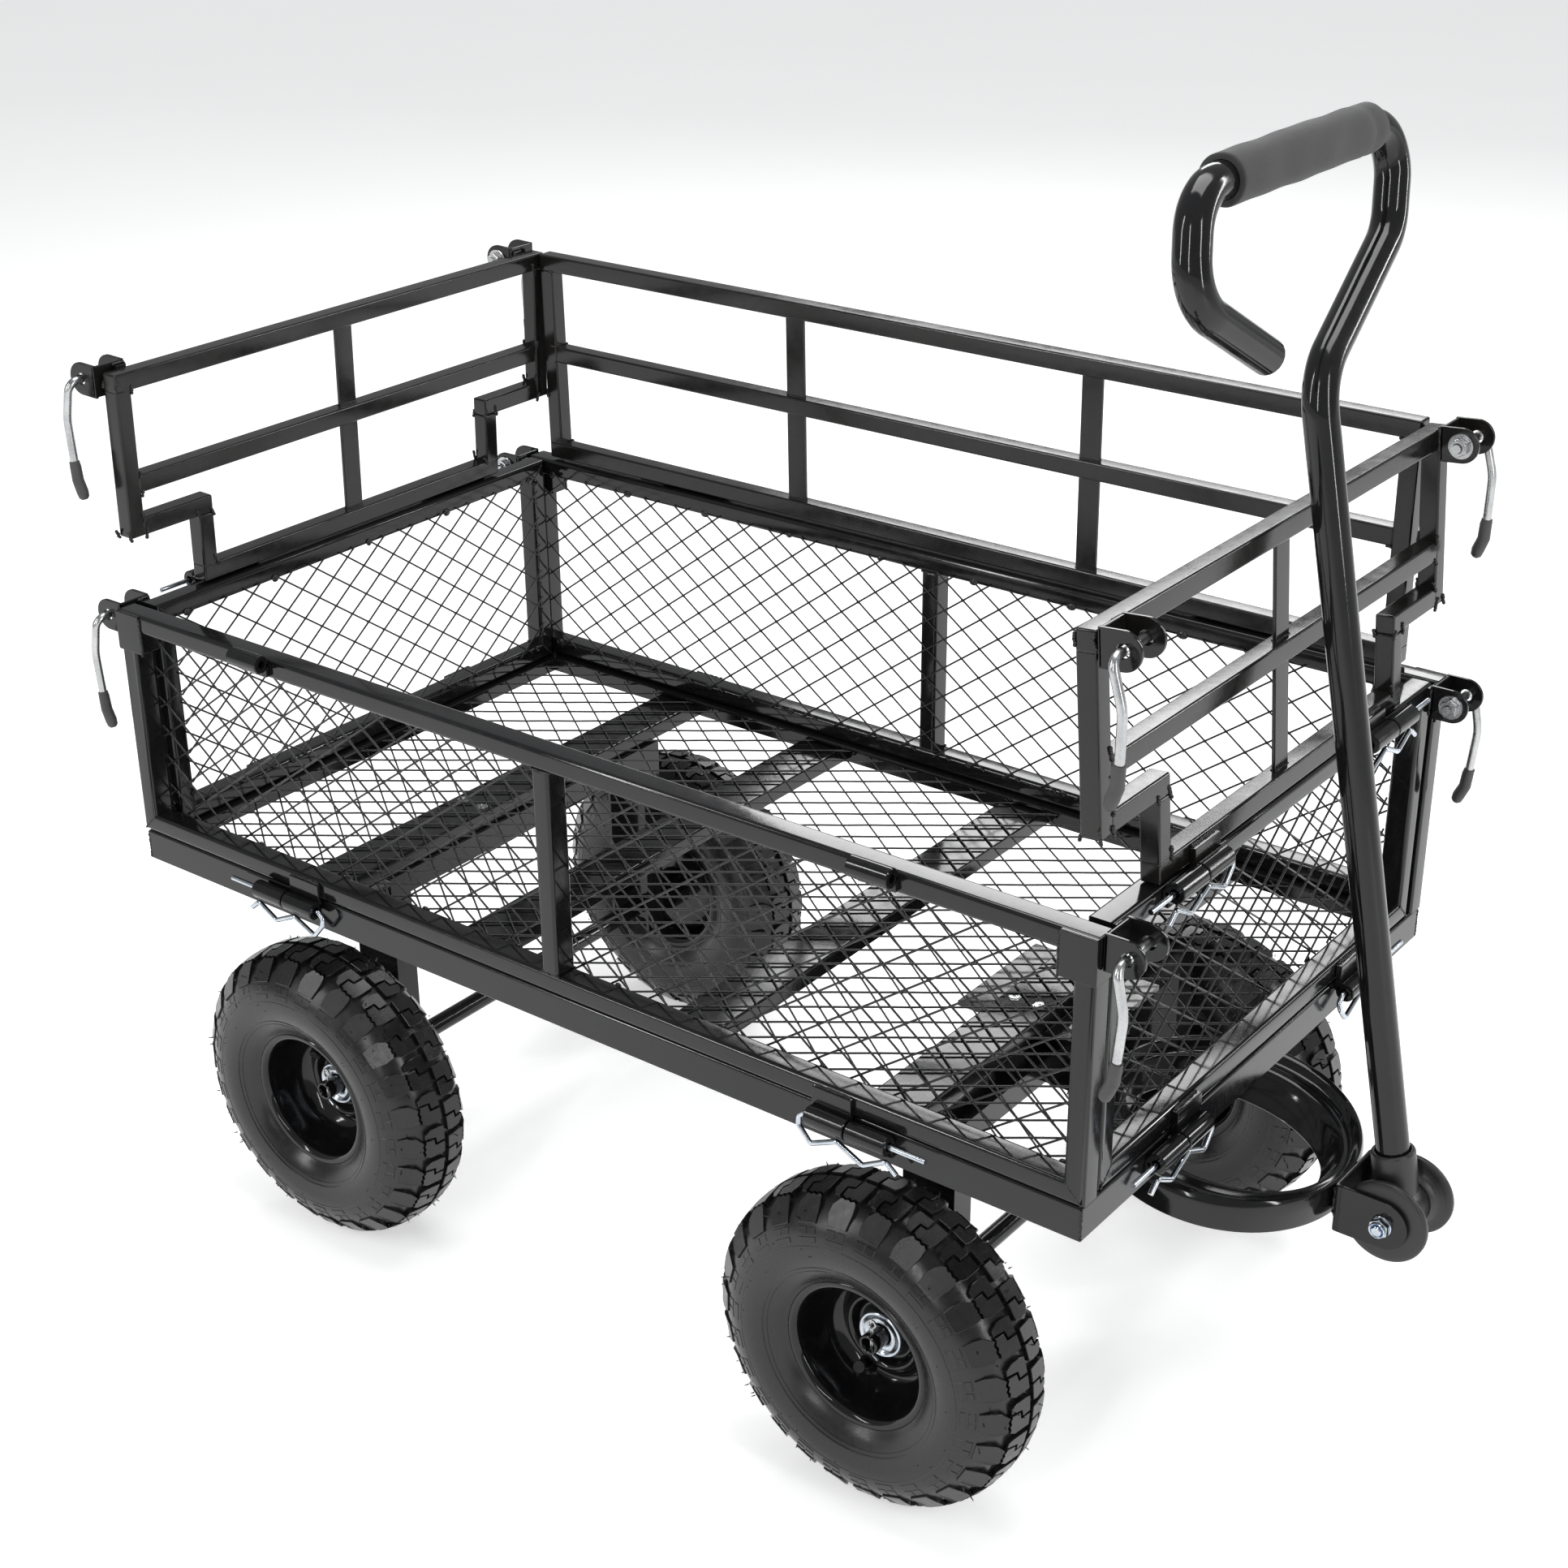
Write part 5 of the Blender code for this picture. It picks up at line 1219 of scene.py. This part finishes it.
def buildAxle(end, x, body):
    bm = bmesh.new()
    radius, bore, reach, height = rim["axleRadius"] - 0.00005, rim["axleBore"], 0.2458, running["height"]
    outline = [
        (0.0, -reach + 0.012), (bore, -reach + 0.012), (bore, -reach + 0.0004),
        (bore + 0.0004, -reach), (radius - 0.0006, -reach),
        (radius, -reach + 0.0006), (radius, reach - 0.0006), (radius - 0.0006, reach),
        (bore + 0.0004, reach), (bore, reach - 0.0004),
        (bore, reach - 0.012), (0.0, reach - 0.012),
    ]
    addTurned(bm, outline, (x, 0, height), yAxis, 36, closed=False)
    finishPiece(f"{end}AxleRod", bm, "glossEnamel", body, [f"{end}_axle"])
    for corner, sign in sideSigns.items():
        # a split pin: an eye on top, two legs through, one of them bent round
        bm = bmesh.new()
        y = sign * (reach - 0.005)
        eye = [
            (
                x + 0.0032 * math.sin(a), y, height + 0.0125 + 0.0032 - 0.0032 * math.cos(a)
            ) for a in [0.35 + (2 * math.pi - 0.7) * i / 14 for i in range(15)]
        ]
        left = roundedPath(
            [
                (x + 0.0007, y, height + 0.0125), (x + 0.0007, y, height - 0.0105),
                (x + 0.0062, y + sign * 0.001, height - 0.0128)
            ],
            [0.0022], 4
        )
        right = roundedPath(
            [
                (x - 0.0007, y, height + 0.0125), (x - 0.0007, y, height - 0.0100),
                (x - 0.0070, y + sign * 0.0012, height - 0.0085)
            ],
            [0.0022], 4
        )
        addWire(bm, [eye, left, right], 0.0010, 3)
        finishPiece(f"{end}{corner.capitalize()}SplitPin", bm, "brightZinc", body, (), 60)


# the pressed draw ring with its yoke
gear = {
    "ringCentre": 0.4316, "ringHeight": 0.243, "outer": (0.0975, 0.1050), "hole": (0.0740, 0.0560),
    "pitch": math.radians(8.0), "pivot": Vector((0.568, 0.0, 0.231)), "cheek": 0.0255, "wall": 0.003,
    "yokeHeight": 0.040, "yokeBack": 0.034, "bolsterTop": 0.282, "bolsterHeight": 0.020, "slip": 0.0003,
    "pressing": [  # share of the way in from the outer edge, and height
        (0.010, -0.0125), (0.0, -0.0110), (0.0, 0.0015), (0.018, 0.0068), (0.055, 0.0108), (0.105, 0.0128),
        (0.165, 0.0128), (0.225, 0.0108), (0.275, 0.0078), (0.335, 0.0064), (0.40, 0.0068), (0.46, 0.0082),
        (0.54, 0.0084), (0.61, 0.0066), (0.69, 0.0020), (0.79, -0.0036), (0.90, -0.0080), (0.975, -0.0104),
        (1.0, -0.0118), (0.985, -0.0130), (0.955, -0.0126), (0.86, -0.0098), (0.74, -0.0050), (0.62, 0.0012),
        (0.52, 0.0046), (0.40, 0.0040), (0.30, 0.0044), (0.20, 0.0092), (0.12, 0.0098), (0.07, 0.0050),
        (0.055, -0.0020), (0.050, -0.0118), (0.035, -0.0128),
    ],
}


def buildDrawRing():
    bm = bmesh.new()
    ring = bmesh.new()
    stations, steps = [], 112
    for step in range(steps):
        angle = 2 * math.pi * step / steps
        station = []
        for share, rise in gear["pressing"]:
            u, v = (outer + (hole - outer) * share for outer, hole in zip(gear["outer"], gear["hole"]))
            station.append(ring.verts.new((u * math.cos(angle), v * math.sin(angle), rise)))
        stations.append(station)
    for first, second in zip(stations, stations[1:] + stations[:1]):
        for i in range(len(first)):
            j = (i + 1) % len(first)
            ring.faces.new((first[i], first[j], second[j], second[i]))
    bmesh.ops.recalc_face_normals(ring, faces=ring.faces)
    middle = Vector((gear["ringCentre"], 0, gear["ringHeight"]))
    pourInto(bm, ring, Matrix.Translation(middle) @ Matrix.Rotation(gear["pitch"], 4, "Y"))
    tongueTop = gear["bolsterTop"] - gear["bolsterHeight"] - gear["slip"]
    addBar(
        bm, (running["front"] - 0.0225, -0.045, tongueTop - 0.006),
        (gear["ringCentre"] - gear["outer"][0] + 0.016, 0.045, tongueTop), 0.0014
    )
    # the yoke: one strap folded into a U
    pivot, wall = gear["pivot"], gear["wall"]
    webX, out = pivot.x - gear["yokeBack"], gear["cheek"] + gear["wall"]
    half = gear["yokeHeight"] / 2
    nose = arcPoints((pivot.x, pivot.z), half - 0.0008, -math.pi / 2, math.pi / 2, 22)
    cheek = nose + [(webX - 0.0005, pivot.z + half - 0.0008), (webX - 0.0005, pivot.z - half + 0.0008)]
    hole = arcPoints((pivot.x, pivot.z), 0.0045, 0, 2 * math.pi, 16)[:-1]
    for sign in (-1, 1):
        low, high = sorted((sign * gear["cheek"], sign * out))
        addPlate(bm, [cheek, hole], low, high, "y", 0.0006)
    fold = roundedOutline(
        [
            (webX - wall, -out), (webX - wall, out), (webX + 0.004, out), (webX + 0.004, out - wall),
            (webX, out - wall), (webX, wall - out), (webX + 0.004, wall - out), (webX + 0.004, -out)
        ],
        0.0028, 4
    )
    addPlate(bm, [fold], pivot.z - half + 0.0008, pivot.z + half - 0.0008, "z", 0.0006)
    blockLow = gear["ringHeight"] - 0.020
    addBar(
        bm, (gear["ringCentre"] + gear["hole"][0] + 0.006, -0.016, blockLow),
        (webX - 0.001, 0.016, blockLow + 0.014), 0.0015
    )
    for sign in (-1, 1):
        addBead(
            bm, (webX - wall - 0.0006, sign * 0.024, pivot.z - 0.006),
            (webX - wall - 0.0006, sign * 0.024, pivot.z + 0.012), 0.0021
        )
        addBead(
            bm, (webX - wall - 0.0008, sign * 0.003, pivot.z - 0.0135),
            (webX - wall - 0.0008, sign * 0.022, pivot.z - 0.010), 0.0019
        )
    finishPiece("drawRing", bm, "glossEnamel", "steering", ["draw_ring"])


def buildYokeBolt():
    pivot, grip = gear["pivot"], gear["cheek"] + gear["wall"] + 0.0003
    bm = bmesh.new()
    addTurned(
        bm, [
            (0.0, -0.0090), (0.0030, -0.0090), (0.0039, -0.0082), (0.0039, 2 * grip + 0.0004),
            (0.0, 2 * grip + 0.0004)
        ],
        pivot - yAxis * grip, yAxis, 28, closed=False,
    )
    addHexNut(bm, pivot + yAxis * grip, yAxis, 0.0075, 0.0, 0.0050, 0.0006)
    finishPiece("yokeBolt", bm, "blueZinc", "steering", ["yoke_bolt"])
    bm = bmesh.new()
    centre = pivot - yAxis * grip
    flange = [(0.0042, 0.0), (0.0078, 0.0), (0.0080, 0.0006), (0.0074, 0.0012), (0.0042, 0.0012)]
    addTurned(bm, flange, centre, -yAxis, 36)
    addHexNut(bm, centre, -yAxis, 0.0078, 0.0008, 0.0056, 0.0041)
    collar = [(0.0048, 0.0055), (0.0062, 0.0055), (0.0061, 0.0072), (0.0054, 0.0077), (0.0048, 0.0075)]
    addTurned(bm, collar, centre, -yAxis, 36)
    finishPiece("yokeNut", bm, "blueZinc", "steering", ["yoke_nut"])
    bm = bmesh.new()
    addTurned(bm, [(0.0041, 0.0056), (0.0050, 0.0056), (0.0050, 0.0072), (0.0041, 0.0072)], centre, -yAxis, 36)
    finishPiece("nutInsert", bm, "nylonInsert", "steering", ())


def buildStripBolts():
    # hexagon heads that hold the turntable plate and the rear bracket to the strips
    for name, x, body in (("turntable", deck["strips"][3], "cart"), ("rearBracket", deck["strips"][0], "cart")):
        bm = bmesh.new()
        for dx in (-0.011, 0.011):
            for y in (-0.046, 0.046):
                addHexNut(bm, (x + dx, y, deck["stripTop"] - 0.0001), zAxis, 0.0060, -0.0022, 0.0006, 0.0005)
        finishPiece(f"{name}Bolts", bm, "brightZinc", body, ())


# the bent tube handle, its foam and its socket
pull = {
    "lean": math.radians(11.4), "tube": 0.0120, "wall": 0.0019, "grip": 0.0165, "gripLow": -0.094, "gripHigh": 0.1005,
    "gripHeight": 0.7335, "disc": 0.0315, "discWidth": 0.0135,
    "path": [
        (0.0, 0.019), (0.0, 0.594), (0.118, 0.664), (0.145, 0.7335), (-0.126, 0.7335), (-0.146, 0.672),
        (-0.061, 0.621)
    ],
    "radii": [0.045, 0.040, 0.029, 0.036, 0.034],
}


def onHandle(across, along, out=0.0):
    lean = pull["lean"]
    return gear["pivot"] + Vector(
        (-math.sin(lean) * along + math.cos(lean) * out, across, math.cos(lean) * along + math.sin(lean) * out)
    )


def buildHandle():
    bm = bmesh.new()
    path = roundedPath([onHandle(*spot) for spot in pull["path"]], pull["radii"], 16)
    addWire(bm, [path], pull["tube"], 8)
    # open the cut end
    tail = path[-1]
    run = (path[-1] - path[-2]).normalized()
    cap = [f for f in bm.faces if (f.calc_center_median() - tail).length < 0.013 and abs(f.normal.dot(run)) > 0.99]
    if cap:
        bmesh.ops.inset_region(bm, faces=cap, thickness=pull["wall"], use_even_offset=True)
        grown = bmesh.ops.extrude_face_region(bm, geom=cap)
        bmesh.ops.delete(bm, geom=cap, context="FACES")
        bmesh.ops.translate(
            bm, vec=-run * 0.030, verts=[v for v in grown["geom"] if isinstance(v, bmesh.types.BMVert)]
        )
    finishPiece("handleTube", bm, "glossEnamel", "handle", ["handle_tube"], 50)

    bm = bmesh.new()
    length, r = pull["gripHigh"] - pull["gripLow"], pull["grip"]
    outline = [(0.0122, 0.0), (r - 0.0012, 0.0), (r - 0.0003, 0.0006), (r, 0.002)]
    outline += [(r, 0.002 + (length - 0.004) * i / 40) for i in range(1, 40)]
    outline += [(r, length - 0.002), (r - 0.0003, length - 0.0006), (r - 0.0012, length), (0.0122, length)]
    addTurned(bm, outline, onHandle(pull["gripLow"], pull["gripHeight"]), yAxis, 48)
    centre = onHandle(0, pull["gripHeight"])
    for vert in bm.verts:
        # soft swelling, and a crease where the bend starts
        y = vert.co.y
        spoke = Vector((vert.co.x - centre.x, 0, vert.co.z - centre.z))
        if spoke.length < 0.0135:
            continue
        swell = 0.00035 * math.sin(y * 61 + 1.3) * math.cos(y * 23) + 0.00022 * math.sin(y * 140 + spoke.x * 300)
        crease = -0.0011 * math.exp(-(((y - 0.083) / 0.0035) ** 2)) * (0.5 + 0.5 * spoke.normalized().x)
        vert.co += spoke.normalized() * (swell + crease)
    finishPiece("foamGrip", bm, "gripFoam", "handle", ["foam_grip"], 60)

    bm = bmesh.new()
    out = gear["cheek"] - 0.0006
    width = pull["discWidth"]
    radius = pull["disc"]
    dish = [  # from the outer face in
        (0.0, 0.0), (radius - 0.0050, 0.0), (radius - 0.0012, -0.0006), (radius, -0.0020),
        (radius, -0.0046), (radius - 0.0010, -0.0056),
        (radius - 0.0040, -0.0062), (0.0235, -0.0072), (0.0205, -0.0090), (0.0190, -width), (0.0, -width),
    ]
    for sign in (-1, 1):
        addTurned(bm, dish, gear["pivot"] + yAxis * sign * out, yAxis * sign, 64, closed=False)
    hub = [(0.0, -0.0125), (0.0180, -0.0125), (0.0180, 0.0125), (0.0, 0.0125)]
    addTurned(bm, hub, gear["pivot"], yAxis, 40, closed=False)
    stem = onHandle(0, 1) - onHandle(0, 0)
    neck = [
        (0.0124, 0.014), (0.0152, 0.014), (0.0158, 0.024), (0.0158, 0.0438), (0.0152, 0.0454), (0.0144, 0.0460),
        (0.0130, 0.0460), (0.0124, 0.0452),
    ]
    addTurned(bm, neck, gear["pivot"], stem, 44)
    finishPiece("handleSocket", bm, "mouldedPlastic", "handle", ["handle_socket"], 48)


# every piece in turn
buildDeck()
print("deck frame made")
buildNetting()
print("netting made")
for name, sign in sideSigns.items():
    buildSidePanel(name, sign)
for name, sign in endSigns.items():
    buildEndPanel(name, sign)
    buildEndRack(name, sign)
buildFarRack()
print("panels and racks made")
for end in endSigns:
    for corner in sideSigns:
        for level in ("low", "high"):
            buildLever(end, corner, level)
for corner, sign in sideSigns.items():
    for label, side in (("rear", -1), ("front", 1)):
        buildClip(
            f"{corner}_{label}_panel_clip", side * hinge["sidePlace"], sign * hinge["sideAcross"],
            hinge["deckHeight"], True, "cart"
        )
for end, sign in endSigns.items():
    for label, side in sideSigns.items():
        buildClip(
            f"{end}_{label}_panel_clip", side * hinge["endPlace"], sign * hinge["endAcross"],
            hinge["deckHeight"], False, "cart"
        )
        buildClip(
            f"{end}_{label}_rack_clip", side * hinge["endPlace"], sign * hinge["endAcross"],
            hinge["rackHeight"], False, f"{end}_panel"
        )
for label, side in (("rear", -1), ("front", 1)):
    buildClip(
        f"far_{label}_rack_clip", side * hinge["sidePlace"], hinge["sideAcross"], hinge["rackHeight"], True,
        "far_panel"
    )
print("levers and clips made")
buildWheels()
buildAxle("front", running["front"], "steering")
buildAxle("rear", running["rear"], "cart")
print("wheels made")
buildDrawRing()
buildYokeBolt()
buildStripBolts()
buildHandle()
print("draw ring and handle made")

# the CAD pieces that stay as they are
for node, look in {
    "front_axle_bracket": "glossEnamel", "rear_axle_bracket": "glossEnamel", "turntable_plate": "glossEnamel",
    "kingpin_bolt": "brightZinc", "kingpin_nut": "brightZinc",
}.items():
    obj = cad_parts[node]
    for slot in obj.material_slots:
        slot.material = finish[look]


# floor, light and camera
studio = {
    "floor": 60.0, "sky": (0.93, 0.945, 0.96), "skyStrength": 0.40,
    "cameraPlace": (1.1184, -1.4261, 1.2670), "cameraTurn": (64.434, 0.387, 37.33), "lens": 57.53,
    "softboxes": [  # name, place, aim, width, depth, watts
        ("overhead", (0.0, 0.3, 3.0), (0, 0, 0.3), 2.2, 1.3, 52.0),
        ("backBox", (-1.5, 3.1, 2.4), (0, 0, 0.4), 1.6, 1.0, 34.0),
        ("keyStrip", (-1.7, -2.5, 1.9), (0, 0, 0.3), 0.16, 2.2, 30.0),
        ("nearStrip", (0.9, -3.2, 2.0), (0, 0, 0.2), 0.14, 2.2, 26.0),
        ("frontStrip", (3.0, -0.6, 1.5), (0.2, 0, 0.4), 0.16, 2.2, 26.0),
        ("farStrip", (2.2, 2.5, 1.8), (0, 0, 0.3), 0.16, 2.0, 24.0),
    ],
}


def buildStudio():
    bm = bmesh.new()
    bmesh.ops.create_grid(bm, x_segments=1, y_segments=1, size=studio["floor"] / 2)
    mesh = bpy.data.meshes.new("paleFloor")
    bm.to_mesh(mesh)
    bm.free()
    mesh.materials.append(finish["paleFloor"])
    floor = bpy.data.objects.new("paleFloor", mesh)
    bpy.context.scene.collection.objects.link(floor)
    world = bpy.data.worlds.new("studioSky")
    world.use_nodes = True
    world.node_tree.nodes["Background"].inputs["Color"].default_value = (*studio["sky"], 1)
    world.node_tree.nodes["Background"].inputs["Strength"].default_value = studio["skyStrength"]
    bpy.context.scene.world = world
    for name, place, aim, width, depth, watts in studio["softboxes"]:
        light = bpy.data.lights.new(name, "AREA")
        light.shape = "RECTANGLE"
        light.size, light.size_y, light.energy = width, depth, watts
        lamp = bpy.data.objects.new(name, light)
        lamp.location = place
        lamp.rotation_euler = (Vector(aim) - Vector(place)).to_track_quat("-Z", "Y").to_euler()
        bpy.context.scene.collection.objects.link(lamp)
    camera = bpy.data.objects.new("camera", bpy.data.cameras.new("camera"))
    camera.location = Vector(studio["cameraPlace"]) + deckShift
    camera.rotation_euler = [math.radians(angle) for angle in studio["cameraTurn"]]
    camera.data.lens = studio["lens"]
    camera.data.sensor_width = 36.0
    camera.data.clip_end = 200.0
    bpy.context.scene.collection.objects.link(camera)
    bpy.context.scene.camera = camera
    bpy.context.scene.view_settings.view_transform = "Standard"


buildStudio()
